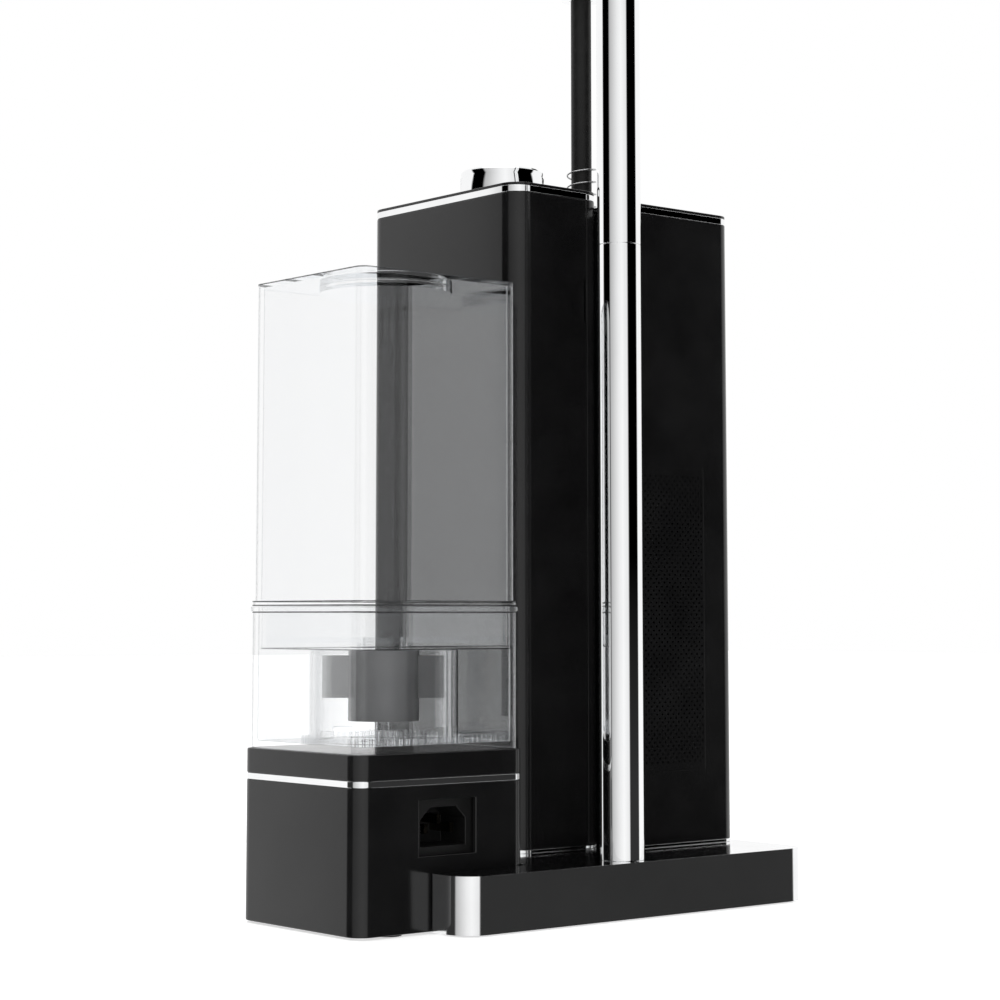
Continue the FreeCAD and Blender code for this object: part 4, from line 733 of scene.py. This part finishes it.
class APPLIANCE_OT_well(bpy.types.Operator):
    """Clear water well with its bead, the slotted cup and the push pin"""
    bl_idname = "appliance.well"
    bl_label = "Water well"

    def execute(self, context):
        size = context.scene.appliance_sizes
        low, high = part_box("water_well")
        low, high = shrunk(low, high, size.bead_out)
        corner = size.base_corner - WELL_CORNER_STEP
        tub = hollow(block(low, high, corner), max, size.clear_wall, -(high.z - low.z - WELL_FLOOR))
        bmesh.ops.bisect_plane(tub, geom=tub.verts[:] + tub.edges[:] + tub.faces[:],
                               plane_co=(0, 0, high.z - size.bead_height), plane_no=UP)
        centre = (low + high) / 2
        band = []
        for face in tub.faces:
            place = face.calc_center_median()
            outward = Vector((place.x - centre.x, place.y - centre.y, 0)).dot(face.normal) > 0
            if place.z > high.z - size.bead_height and abs(face.normal.z) < 0.5 and outward:
                band.append(face)
        bmesh.ops.inset_region(tub, faces=band, thickness=HAIR, depth=size.bead_out,
                               use_even_offset=True)
        keep("well", tub, "appliance", "clear_plastic", ["water_well"], size.fine_round, 2)
        # painted shade: a dark line under the well's bead
        line = edge_line(low, high, high.z - size.bead_height - size.line_tall, corner, size)
        keep("well_edge", line, "appliance", "painted_edge_shade", [])
        cup_low, cup_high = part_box("valve_cup")
        centre, radius = middle("valve_cup"), (cup_high.x - cup_low.x) / 2
        ribs = self.ribs(low, high, centre, radius, size)
        keep("well_ribs", ribs, "appliance", "clear_plastic", [])
        low, high = cup_low, cup_high
        cup = pipe(centre, radius - size.clear_wall, radius, low.z + CLEARANCE, high.z)
        half, rise = size.cup_slot / 2, low.z + size.cup_slot / 2
        along = block((low.x - THROUGH, centre.y - half, low.z - THROUGH),
                      (high.x + THROUGH, centre.y + half, rise))
        across = block((centre.x - half, low.y - THROUGH, low.z - THROUGH),
                       (centre.x + half, high.y + THROUGH, rise))
        keep("cup", carve(cup, along, across), "appliance", "clear_plastic", ["valve_cup"],
             size.fine_round, 2)
        low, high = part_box("push_pin")
        centre = middle("push_pin")
        post = pipe(centre, 0, PIN_RADIUS, low.z + CLEARANCE, high.z, 32)
        fins = [block((low.x, centre.y - PIN_FIN, low.z + CLEARANCE),
                      (high.x, centre.y + PIN_FIN, high.z - PIN_TIP)),
                block((centre.x - PIN_FIN, low.y, low.z + CLEARANCE),
                      (centre.x + PIN_FIN, high.y, high.z - PIN_TIP))]
        pin = carve(post, *fins, operation="UNION")
        keep("pin", pin, "appliance", "clear_plastic", ["push_pin"], size.fine_round, 2)
        return {"FINISHED"}

    def ribs(self, low, high, centre, radius, size):
        """Short upright ribs on the well's floor, along its walls and round the cup."""
        tall, thick, pitch = size.rib_height, size.rib_thick, size.rib_pitch
        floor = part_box("valve_cup")[0].z
        edge = size.clear_wall + 1.5 * thick
        hub = Vector((centre.x, centre.y))
        spots = []
        for first, last, turn in (((low.x, low.y), (high.x, low.y), math.pi / 2),
                                  ((low.x, high.y), (high.x, high.y), math.pi / 2),
                                  ((low.x, low.y), (low.x, high.y), 0.0),
                                  ((high.x, low.y), (high.x, high.y), 0.0)):
            first, last = Vector(first), Vector(last)
            inward = (hub - (first + last) / 2).normalized() * edge
            count = int(((last - first).length - 4 * edge) / pitch)
            way = (last - first).normalized()
            for number in range(count + 1):
                step = 2 * edge + ((last - first).length - 4 * edge) * number / count
                spots.append((first + way * step + inward, turn))
        around = int(2 * math.pi * (radius + 2 * thick) / pitch)
        for number in range(around):
            angle = 2 * math.pi * number / around
            arm = Vector((math.cos(angle), math.sin(angle))) * (radius + 2 * thick)
            spots.append((hub + arm, angle))
        mesh = bmesh.new()
        shape = Matrix.Diagonal((2 * thick, thick, tall, 1))
        for place, turn in spots:
            here = Matrix.Translation((place.x, place.y, floor + tall / 2 + CLEARANCE))
            here = here @ Matrix.Rotation(turn, 4, "Z") @ shape
            bmesh.ops.create_cube(mesh, size=1.0, matrix=here)
        return mesh


class APPLIANCE_OT_tank(bpy.types.Operator):
    """Clear tank: walls, flange, skirt, floor and neck, and its dished top"""
    bl_idname = "appliance.tank"
    bl_label = "Tank"

    def execute(self, context):
        size = context.scene.appliance_sizes
        low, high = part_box("tank_body")
        lid_low, lid_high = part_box("tank_top")
        flange_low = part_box("water_well")[1].z + RUNNING_GAP
        flange_high = flange_low + size.flange_height
        skirt_low, skirt_high = shrunk(low, high, size.skirt_step)
        centre = (low + high) / 2
        skirt_foot = flange_low - size.skirt_depth
        floor = skirt_foot + size.skirt_lip
        wall, flange_corner = size.clear_wall, size.base_corner - WELL_CORNER_STEP
        lid = lid_high.z - size.lid_skin
        walls = ring(*at_heights(lid_low, lid_high, flange_high + CLEARANCE, lid - CLEARANCE),
                     size.tank_corner, wall)
        flange = ring(*at_heights(low, high, flange_low, flange_high), flange_corner,
                      size.skirt_step + wall)
        skirt = ring(*at_heights(skirt_low, skirt_high, skirt_foot, flange_low - CLEARANCE),
                     SKIRT_CORNER, SKIRT_WALL)
        bed = block(*at_heights(*shrunk(skirt_low, skirt_high, SKIRT_WALL + CLEARANCE),
                                floor, floor + wall))
        neck_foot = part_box("cap_seal")[1].z + RUNNING_GAP
        bore = size.neck_radius - wall
        bed = carve(bed, drum((centre.x, centre.y, floor), bore, REACH))
        neck = pipe(centre, bore, size.neck_radius, neck_foot, floor - CLEARANCE)
        body = joined(walls, flange, skirt, bed, neck)
        keep("tank", body, "tank", "clear_plastic", ["tank_body"], size.fine_round, 2)
        plate = block(*at_heights(lid_low, lid_high, lid, lid_high.z), size.tank_corner)
        # painted shade: dark lines along the flange, the skirt's foot and the top's edge
        lines = [edge_line(low, high, height, flange_corner, size)
                 for height in (flange_low, flange_high - size.line_tall)]
        lines += [edge_line(skirt_low, skirt_high, skirt_foot, SKIRT_CORNER, size),
                  edge_line(lid_low, lid_high, lid_high.z - size.line_tall, size.tank_corner, size)]
        keep("tank_edges", joined(*lines), "tank", "painted_edge_shade", [])
        dish = size.dish_radius
        plate = carve(plate, drum((centre.x, centre.y, lid), dish, REACH, steps=96))
        bottom = lid_low.z
        cup = turned(centre, ((0, bottom), (dish + size.lid_skin, bottom),
                              (dish + size.lid_skin, lid - CLEARANCE), (dish, lid - CLEARANCE),
                              (dish, bottom + size.lid_skin), (0, bottom + size.lid_skin)))
        keep("tank_lid", joined(plate, cup), "tank", "clear_plastic", ["tank_top"],
             size.fine_round, 2)
        return {"FINISHED"}


class APPLIANCE_OT_cap(bpy.types.Operator):
    """Winged cap under the tank"""
    bl_idname = "appliance.cap"
    bl_label = "Cap"

    def execute(self, context):
        size = context.scene.appliance_sizes
        low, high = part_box("tank_cap")
        centre = middle("tank_cap")
        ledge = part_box("cap_seal")[0].z
        bore = size.neck_radius + RUNNING_GAP
        web, seat = low.z + CAP_WEB, low.z + CAP_SEAT_HEIGHT
        barrel = turned(centre, ((CAP_HOLE, web), (bore, web), (bore, low.z),
                                 (size.cap_radius, low.z), (size.cap_radius, high.z),
                                 (bore, high.z), (bore, ledge), (CAP_SEAT, ledge),
                                 (CAP_SEAT, seat), (CAP_HOLE, seat)))
        start = low.z + WING_START
        wings = []
        for side in (1, -1):
            near, far = sorted((side * (size.cap_radius - WING_ROOT), side * size.wing_reach))
            wing = block((near, -size.wing_skin / 2, start),
                         (far, size.wing_skin / 2, start + size.wing_height))
            swing(wing, size.wing_turn, centre)
            wings.append(wing)
        keep("cap", carve(barrel, *wings, operation="UNION"), "cap", "grey_plastic", ["tank_cap"],
             CAST_ROUND, 3)
        return {"FINISHED"}


class APPLIANCE_OT_foot(bpy.types.Operator):
    """Cast foot with rounded ends, hollow underneath"""
    bl_idname = "appliance.foot"
    bl_label = "Foot"

    def execute(self, context):
        size = context.scene.appliance_sizes
        low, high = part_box("foot_plate")
        base_low, base_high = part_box("base_shell")
        notch = (base_high.x + RUNNING_GAP, base_low.y - RUNNING_GAP)
        corners = ((low.x, low.y), (high.x, low.y), (high.x, high.y), (notch[0], high.y), notch,
                   (low.x, notch[1]))
        mesh = bmesh.new()
        sole = mesh.faces.new([mesh.verts.new((x, y, low.z)) for x, y in corners])
        extrude(mesh, [sole], UP * (high.z - low.z), keep_first=True)
        bmesh.ops.recalc_face_normals(mesh, faces=mesh.faces)
        rounded, inner = [], []
        for edge in mesh.edges:
            first, last = edge.verts[0].co, edge.verts[1].co
            upright = abs(first.z - last.z) > NEAR
            in_line = abs(first.y - notch[1]) < NEAR
            at_base = in_line and abs(first.x - notch[0]) < NEAR
            beside_base = in_line and abs(first.x - low.x) < NEAR
            if upright and not at_base:
                (inner if beside_base else rounded).append(edge)
        for edges, radius in ((rounded, size.foot_corner), (inner, size.foot_inner_corner)):
            bmesh.ops.bevel(mesh, geom=edges, offset=radius, segments=14, profile=0.5,
                            affect="EDGES", material=-1)
        hollow(mesh, min, size.foot_wall, high.z - low.z - size.foot_wall)
        keep("foot", mesh, "appliance", "foot_metal", ["foot_plate"], CAST_ROUND, 4)
        return {"FINISHED"}


def hatch_hole(low, high, size):
    """The service opening in the back of the tower."""
    inset = 1.5 * size.tower_corner
    return block((low.x + inset, high.y - HATCH_DEPTH, low.z + HATCH_FOOT),
                 (high.x - inset, high.y + CUT_PROUD, high.z - HATCH_TOP))


class APPLIANCE_OT_tower(bpy.types.Operator):
    """Tower case, its pull-forward side cover, chrome rims, trim and top panel"""
    bl_idname = "appliance.tower"
    bl_label = "Tower"

    def execute(self, context):
        size = context.scene.appliance_sizes
        low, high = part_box("tower_shell")
        cover_low, cover_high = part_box("side_cover")
        seam, back = cover_low.x, cover_high.y + RUNNING_GAP
        corner, wall = size.tower_corner, size.shell_wall
        room = block((seam - SEAM_GAP, low.y - ROOM, low.z - ROOM),
                     (high.x + ROOM, back, high.z + ROOM))
        notch = drum((seam, low.y, size.notch_height), size.notch_radius, 2 * size.notch_depth, "Y")
        case = carve(ring(low, high, corner, wall), room, notch, hatch_hole(low, high, size))
        keep("tower_case", joined(case, case_floor(low, high, corner, wall)), "appliance",
             "black_gloss", ["tower_shell"], size.edge_round)
        for name, node, body, finish, edge in (
                ("cover", "side_cover", "cover", "black_gloss", size.edge_round),
                ("cover_trim", "cover_rim", "cover", "chrome", size.fine_round)):
            part_low, part_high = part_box(node)
            whole = ring(*at_heights(low, high, part_low.z, part_high.z), corner, wall)
            near = block((seam, low.y - ROOM, part_low.z - ROOM),
                         (high.x + ROOM, cover_high.y, part_high.z + ROOM))
            keep(name, carve(whole, near, operation="INTERSECT"), body, finish, [node], edge)
        rim_low, rim_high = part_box("tower_rim")
        rim = ring(*at_heights(low, high, rim_low.z, rim_high.z), corner, wall)
        room = block((seam - SEAM_GAP, low.y - ROOM, rim_low.z - ROOM),
                     (high.x + ROOM, back, rim_high.z + ROOM))
        keep("tower_band", carve(rim, room), "appliance", "chrome", ["tower_rim"], size.fine_round)
        panel_low, panel_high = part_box("top_panel")
        lap = block(*at_heights(low, high, rim_high.z + CLEARANCE, panel_high.z), corner)
        plug = block((low.x + wall + SEAM_GAP, low.y + wall + SEAM_GAP, panel_low.z),
                     (seam - wall, high.y - wall - SEAM_GAP, rim_high.z), PLUG_CORNER)
        keep("tower_top", joined(lap, plug), "appliance", "black_gloss", ["top_panel"],
             size.fine_round)
        trim_low, trim_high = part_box("tower_trim")
        keep("tower_foot_trim", block(trim_low, trim_high, corner), "appliance", "chrome",
             ["tower_trim"], size.fine_round)
        return {"FINISHED"}


class APPLIANCE_OT_knob(bpy.types.Operator):
    """Chrome knob with a dished top and fine flutes, and its bezel"""
    bl_idname = "appliance.knob"
    bl_label = "Knob"

    def execute(self, context):
        size = context.scene.appliance_sizes
        low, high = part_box("knob")
        centre, radius = middle("knob"), (high.x - low.x) / 2
        inner, under = radius - KNOB_WALL, high.z - KNOB_SKIN
        outside = [(radius - inward, high.z - down) for inward, down in KNOB_OUTLINE]
        mesh = turned(centre, ((0, high.z - KNOB_DISH), *outside, (radius, low.z + KNOB_FOOT_RISE),
                               (radius - KNOB_FOOT_STEP, low.z), (inner, low.z), (inner, under),
                               (0, under)), 2 * KNOB_FLUTES)
        for vert in mesh.verts:
            arm = Vector((vert.co.x - centre.x, vert.co.y - centre.y, 0))
            turn = round(math.atan2(arm.y, arm.x) / math.pi * KNOB_FLUTES)
            if abs(arm.length - radius) < HAIR and turn % 2:
                vert.co -= arm.normalized() * size.flute_depth
        keep("knob_grip", mesh, "knob_unit", "chrome", ["knob"])
        low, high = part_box("knob_bezel")
        radius = (high.x - low.x) / 2
        bezel = turned(centre, ((SHAFT_HOLE, low.z), (radius, low.z),
                                (radius - BEZEL_CHAMFER, high.z), (SHAFT_HOLE, high.z)))
        keep("bezel", bezel, "appliance", "black_satin", ["knob_bezel"])
        return {"FINISHED"}


class APPLIANCE_OT_module(bpy.types.Operator):
    """Heater module: case, back slots, chrome rim, trim and top"""
    bl_idname = "appliance.module"
    bl_label = "Heater module"

    def execute(self, context):
        size = context.scene.appliance_sizes
        low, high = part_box("module_shell")
        vent_low, vent_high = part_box("vent_grille")
        corner, wall = size.module_corner, size.shell_wall
        gap = Vector((SEAM_GAP, 0, SEAM_GAP))
        window = block(Vector((vent_low.x, low.y - CUT_PROUD, vent_low.z)) - gap,
                       Vector((vent_high.x, low.y + CUT_DEPTH, vent_high.z)) + gap)
        slots = [block((low.x + SLOT_INSET, high.y - CUT_DEPTH, SLOT_LOW + SLOT_PITCH * number),
                       (high.x - SLOT_INSET, high.y + CUT_PROUD, SLOT_HIGH + SLOT_PITCH * number))
                 for number in range(SLOTS)]
        case = carve(ring(low, high, corner, wall), window, *slots)
        keep("module_case", joined(case, case_floor(low, high, corner, wall)), "appliance",
             "black_gloss", ["module_shell"], size.edge_round)
        rim_low, rim_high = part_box("module_rim")
        keep("module_band", ring(rim_low, rim_high, corner, wall), "appliance", "chrome",
             ["module_rim"], size.fine_round)
        top_low, top_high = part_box("module_cap")
        hole = drum((*HOSE_LOW.lerp(HOSE_HIGH, 0.5).xy, top_high.z), HOSE_HOLE, REACH)
        lap = block(*at_heights(top_low, top_high, rim_high.z + CLEARANCE, top_high.z), corner)
        keep("module_top", carve(lap, hole), "appliance", "black_gloss", ["module_cap"],
             size.fine_round)
        trim_low, trim_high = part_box("module_trim")
        keep("module_foot_trim", block(trim_low, trim_high, corner), "appliance", "chrome",
             ["module_trim"], size.fine_round)
        return {"FINISHED"}


class APPLIANCE_OT_vent(bpy.types.Operator):
    """Vent panel with staggered columns of fine round holes"""
    bl_idname = "appliance.vent"
    bl_label = "Vent"

    def execute(self, context):
        size = context.scene.appliance_sizes
        low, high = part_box("vent_grille")
        pitch, rise = size.hole_pitch, size.hole_rise
        columns = int((high.x - low.x - VENT_EDGE) / pitch)
        rows = int((high.z - low.z - VENT_EDGE) / rise)
        first = Vector(((low.x + high.x - columns * pitch) / 2, low.y,
                        (low.z + high.z - rows * rise) / 2))
        last = Vector((first.x + columns * pitch, low.y, first.z + rows * rise))
        cell = self.cell(first, pitch, rise, size.hole_radius)
        plain = self.plain(first, pitch, rise / 2)
        mesh = bmesh.new()
        for number in range(columns):
            shift = number * pitch
            odd = number % 2
            if odd:
                self.copy(mesh, plain, shift, 0)
                self.copy(mesh, plain, shift, (rows - 0.5) * rise)
            for row in range(rows - odd):
                self.copy(mesh, cell, shift, (row + odd / 2) * rise)
        for pair in ((low.x, first.x), (last.x, high.x)):
            self.strip(mesh, pair, (low.z, high.z), low.y)
        for pair in ((low.z, first.z), (last.z, high.z)):
            self.strip(mesh, (first.x, last.x), pair, low.y)
        bmesh.ops.remove_doubles(mesh, verts=mesh.verts, dist=HAIR)
        bmesh.ops.recalc_face_normals(mesh, faces=mesh.faces)
        if sum(face.normal.y * face.calc_area() for face in mesh.faces) > 0:
            bmesh.ops.reverse_faces(mesh, faces=mesh.faces)
        extrude(mesh, mesh.faces[:], (0, VENT_SKIN, 0), keep_first=True)
        bmesh.ops.recalc_face_normals(mesh, faces=mesh.faces)
        keep("vent_panel", mesh, "appliance", "black_gloss", ["vent_grille"])
        return {"FINISHED"}

    @staticmethod
    def copy(mesh, data, x, z):
        """Add a ready-made cell, moved sideways and up."""
        before = len(mesh.verts)
        mesh.from_mesh(data)
        mesh.verts.ensure_lookup_table()
        bmesh.ops.translate(mesh, vec=(x, 0, z), verts=mesh.verts[before:])

    @staticmethod
    def sheet(low, wide, tall):
        """One upright tile that faces the front."""
        mesh = bmesh.new()
        verts = bmesh.ops.create_grid(mesh, x_segments=1, y_segments=1, size=0.5)["verts"]
        upright = Matrix.Rotation(math.pi / 2, 3, "X")
        bmesh.ops.rotate(mesh, cent=(0, 0, 0), matrix=upright, verts=verts)
        bmesh.ops.scale(mesh, vec=(wide, 1, tall), verts=verts)
        bmesh.ops.translate(mesh, vec=(low.x + wide / 2, low.y, low.z + tall / 2), verts=verts)
        return mesh

    def cell(self, low, wide, tall, radius):
        """One tile with a round hole in its middle."""
        mesh = self.sheet(low, wide, tall)
        bmesh.ops.subdivide_edges(mesh, edges=mesh.edges[:], cuts=1)
        face = max(mesh.faces, key=lambda item: item.calc_area())
        centre = Vector((low.x + wide / 2, low.y, low.z + tall / 2))
        bmesh.ops.inset_region(mesh, faces=[face], thickness=wide * VENT_INSET,
                               use_boundary=True)
        for vert in face.verts:
            arm = vert.co - centre
            turn = round(math.atan2(arm.z / tall, arm.x / wide) / (math.pi / 4)) * math.pi / 4
            vert.co = centre + Vector((math.cos(turn), 0, math.sin(turn))) * radius
        bmesh.ops.delete(mesh, geom=[face], context="FACES_ONLY")
        return stored("vent_cell", mesh)

    def plain(self, low, wide, tall):
        return stored("vent_cell", self.sheet(low, wide, tall))

    def strip(self, mesh, across, tall, front):
        """Add a plain strip between two places across and two heights."""
        mesh.from_mesh(self.plain(Vector((across[0], front, tall[0])), across[1] - across[0],
                                  tall[1] - tall[0]))


class APPLIANCE_OT_pole(bpy.types.Operator):
    """Two-part chrome pole, and the head and arm that hold the hose"""
    bl_idname = "appliance.pole"
    bl_label = "Pole"

    def execute(self, context):
        size = context.scene.appliance_sizes
        for name, node in (("pole_bottom", "pole_lower"), ("pole_top", "pole_upper")):
            low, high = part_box(node)
            radius = (high.x - low.x) / 2
            tube = pipe(middle(node), radius - size.pole_wall, radius, low.z, high.z, 128)
            keep(name, tube, "appliance", "chrome", [node], size.fine_round)
        low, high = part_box("pole_head")
        fit_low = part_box("hose_fitting")[0]
        post, hose = POLE_LOW.lerp(POLE_HIGH, 0.5), HOSE_LOW.lerp(HOSE_HIGH, 0.5)
        radius = post.x - low.x
        inner = (POLE_HIGH.x - POLE_LOW.x) / 2
        pole_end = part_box("pole_upper")[1].z
        head = turned(post, ((0, pole_end), (inner, pole_end), (inner, low.z), (radius, low.z),
                             (radius, high.z), (0, high.z)))
        away = Vector((hose.x - post.x, hose.y - post.y, 0))
        arm_low = fit_low.z + ARM_RISE
        arm = block((radius - ARM_ROOT, -ARM_HALF, arm_low),
                    (away.length - ARM_END, ARM_HALF, arm_low + ARM_TALL))
        swing(arm, math.atan2(away.y, away.x), post)
        clip = pipe(hose, size.hose_radius + CLIP_FIT, CLIP_RADIUS, fit_low.z,
                    fit_low.z + CLIP_TALL)
        whole = carve(head, arm, clip, operation="UNION")
        keep("pole_bracket", whole, "appliance", "chrome", ["pole_head"], 0.0008)
        return {"FINISHED"}


class APPLIANCE_OT_hose(bpy.types.Operator):
    """Upright hose with its gland, relief spring and end fitting"""
    bl_idname = "appliance.hose"
    bl_label = "Hose"

    def execute(self, context):
        size = context.scene.appliance_sizes
        low, high = HOSE_LOW, HOSE_HIGH
        centre = (low + high) / 2
        route = [Vector((centre.x, centre.y, height)) for height in (0.335, 0.373, 0.410, 0.448)]
        curve = bpy.data.curves.new("hose_line", "CURVE")
        curve.dimensions = "3D"
        line = curve.splines.new("NURBS")
        line.points.add(len(route) - 1)
        for point, place in zip(line.points, route):
            point.co = (*place, 1)
        line.order_u = 3
        line.use_endpoint_u = True
        curve.bevel_depth = size.hose_radius
        curve.bevel_resolution = 10
        curve.use_fill_caps = True
        curve.materials.append(FINISHES["rubber"])
        hose = linked("hose_line", curve)
        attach(hose, "appliance")
        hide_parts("hose")
        fitting = self.fitting(size)
        relief = self.relief(size)
        gland_low, gland_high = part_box("hose_gland")
        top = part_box("module_cap")[1].z
        wide = (gland_high.x - gland_low.x) / 2
        neck = size.hose_radius + GLAND_FIT
        gland = turned(centre, ((0, gland_low.z), (neck, gland_low.z), (neck, top), (wide, top),
                                (wide, gland_high.z - GLAND_CHAMFER),
                                (wide - GLAND_CHAMFER, gland_high.z),
                                (0, gland_high.z)))
        keep("gland", gland, "appliance", "black_satin", ["hose_gland"], size.fine_round)
        return {"FINISHED"}

    def fitting(self, size):
        """Sleeve and nut at the hose's upper end."""
        low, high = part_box("hose_fitting")
        centre = middle("hose_fitting")
        sleeve, nut = size.hose_radius + CLIP_FIT, (high.x - low.x) / 2
        start, end = low.z + NUT_LOW, low.z + NUT_HIGH
        mesh = turned(centre, ((0, low.z), (sleeve, low.z), (sleeve, start), (nut, start),
                               (nut, end), (FITTING_BORE, end), (FITTING_BORE, high.z),
                               (0, high.z)), NUT_STEPS)
        return keep("hose_end", mesh, "appliance", "chrome", ["hose_fitting"], 0.0005)

    def relief(self, size):
        """Open spring round the hose where it leaves the gland."""
        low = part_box("relief_spring")[0]
        start = Vector((*HOSE_LOW.lerp(HOSE_HIGH, 0.5).xy, low.z + size.coil_wire))
        steps = int(size.coil_turns * COIL_STEPS)
        mesh = bmesh.new()
        at_start = Matrix.Translation(start + Vector((size.coil_radius, 0, 0)))
        bmesh.ops.create_circle(mesh, segments=WIRE_STEPS, radius=size.coil_wire,
                                matrix=at_start @ Matrix.Rotation(math.pi / 2, 4, "X"))
        bmesh.ops.spin(mesh, geom=mesh.verts[:] + mesh.edges[:], cent=start, axis=UP,
                       dvec=UP * (size.coil_pitch * size.coil_turns / steps),
                       angle=2 * math.pi * size.coil_turns, steps=steps)
        bmesh.ops.holes_fill(mesh, edges=mesh.edges, sides=0)
        bmesh.ops.recalc_face_normals(mesh, faces=mesh.faces)
        return keep("relief", mesh, "appliance", "steel", ["relief_spring"])


class APPLIANCE_OT_stage(bpy.types.Operator):
    """Pale floor, studio surround, soft lights and the camera"""
    bl_idname = "appliance.stage"
    bl_label = "Stage"

    def execute(self, context):
        self.floor()
        self.surround()
        self.lights()
        self.camera()
        return {"FINISHED"}

    def floor(self):
        mesh = bmesh.new()
        bmesh.ops.create_grid(mesh, x_segments=1, y_segments=1, size=6.0)
        data = stored("floor", mesh)
        finish = material("floor")
        cloud = finish.noise(3.0)
        pale = palette().floor
        shader = finish.surface(Base_Color=finish.mix(cloud, pale, scaled(pale, 0.98)),
                                Roughness=0.9, Emission_Color=(1, 1, 1, 1),
                                Emission_Strength=FLOOR_GLOW)
        data.materials.append(finish.done(shader))
        floor = linked("floor", data)
        floor.visible_glossy = False

    def surround(self):
        """A white room with two dark flags, which polished metal shows as bands."""
        room = Finish(bpy.data.worlds.new("studio"))
        aim = room.node("ShaderNodeTexCoord", output="Generated")
        ahead = room.along(aim, STUDIO_FRONT)
        across = room.along(aim, Vector((-STUDIO_FRONT.y, STUDIO_FRONT.x, 0)))
        around = room.node("ShaderNodeMath", {"operation": "ARCTAN2"}, {0: across, 1: ahead})
        bands = room.node("ShaderNodeValToRGB",
                          {"stops": [(angle / 360 + 0.5, level) for angle, level in STUDIO_BANDS]},
                          {0: around * (1 / (2 * math.pi)) + 0.5})
        table = room.ramp(room.along(aim, UP) * -4.0 + 0.1, 0.0, 0.4)
        lit = room.node("ShaderNodeBackground", {}, {"Color": bands + table * TABLE_GLOW})
        white = room.node("ShaderNodeBackground", {}, {"Color": (1, 1, 1, 1)})
        seen = room.node("ShaderNodeLightPath", output="Is Camera Ray")
        both = room.node("ShaderNodeMixShader", {}, {0: seen, 1: lit, 2: white})
        bpy.context.scene.world = room.done(both, "ShaderNodeOutputWorld")

    def lights(self):
        lamp = bpy.data.lights.new("overhead", "AREA")
        lamp.size = LAMP_WIDTH
        lamp.energy = LAMP_POWER
        light = linked("overhead", lamp)
        light.location = LAMP_PLACE
        light.rotation_euler = (LAMP_TARGET - light.location).to_track_quat("-Z", "Y").to_euler()

    def camera(self):
        data = bpy.data.cameras.new("view")
        data.lens = CAMERA_LENS
        data.sensor_width = CAMERA_SENSOR
        data.shift_y = CAMERA_SHIFT
        data.clip_start = 0.01
        camera = linked("view", data)
        camera.location = CAMERA_PLACE
        camera.rotation_euler = (CAMERA_TILT, 0, CAMERA_TURN)
        bpy.context.scene.camera = camera
        bpy.context.scene.view_settings.view_transform = "Standard"
        bpy.context.scene.cycles.transparent_max_bounces = CLEAR_LAYERS


PIECES = (APPLIANCE_OT_finishes, APPLIANCE_OT_base, APPLIANCE_OT_inlet, APPLIANCE_OT_well,
          APPLIANCE_OT_tank, APPLIANCE_OT_cap, APPLIANCE_OT_foot, APPLIANCE_OT_tower,
          APPLIANCE_OT_knob, APPLIANCE_OT_module, APPLIANCE_OT_vent, APPLIANCE_OT_pole,
          APPLIANCE_OT_hose, APPLIANCE_OT_stage)


class APPLIANCE_PT_panel(bpy.types.Panel):
    """Buttons that build the appliance, with its sizes and colours"""
    bl_idname = "APPLIANCE_PT_panel"
    bl_label = "Water appliance"
    bl_space_type = "VIEW_3D"
    bl_region_type = "UI"
    bl_category = "Appliance"

    def draw(self, context):
        for piece in PIECES:
            self.layout.operator(piece.bl_idname)
        for group in (context.scene.appliance_sizes, context.scene.appliance_colours):
            for name in group.bl_rna.properties.keys():
                if name not in {"rna_type", "name"}:
                    self.layout.prop(group, name)


CLASSES = (ApplianceSizes, ApplianceColours, *PIECES, APPLIANCE_PT_panel)


def register():
    for item in CLASSES:
        bpy.utils.register_class(item)
    bpy.types.Scene.appliance_sizes = bpy.props.PointerProperty(type=ApplianceSizes)
    bpy.types.Scene.appliance_colours = bpy.props.PointerProperty(type=ApplianceColours)


def unregister():
    del bpy.types.Scene.appliance_colours
    del bpy.types.Scene.appliance_sizes
    for item in reversed(CLASSES):
        bpy.utils.unregister_class(item)


def main():
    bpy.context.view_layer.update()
    register()
    for piece in PIECES:
        group, name = piece.bl_idname.split(".")
        getattr(getattr(bpy.ops, group), name)()


if __name__ == "__main__":
    main()
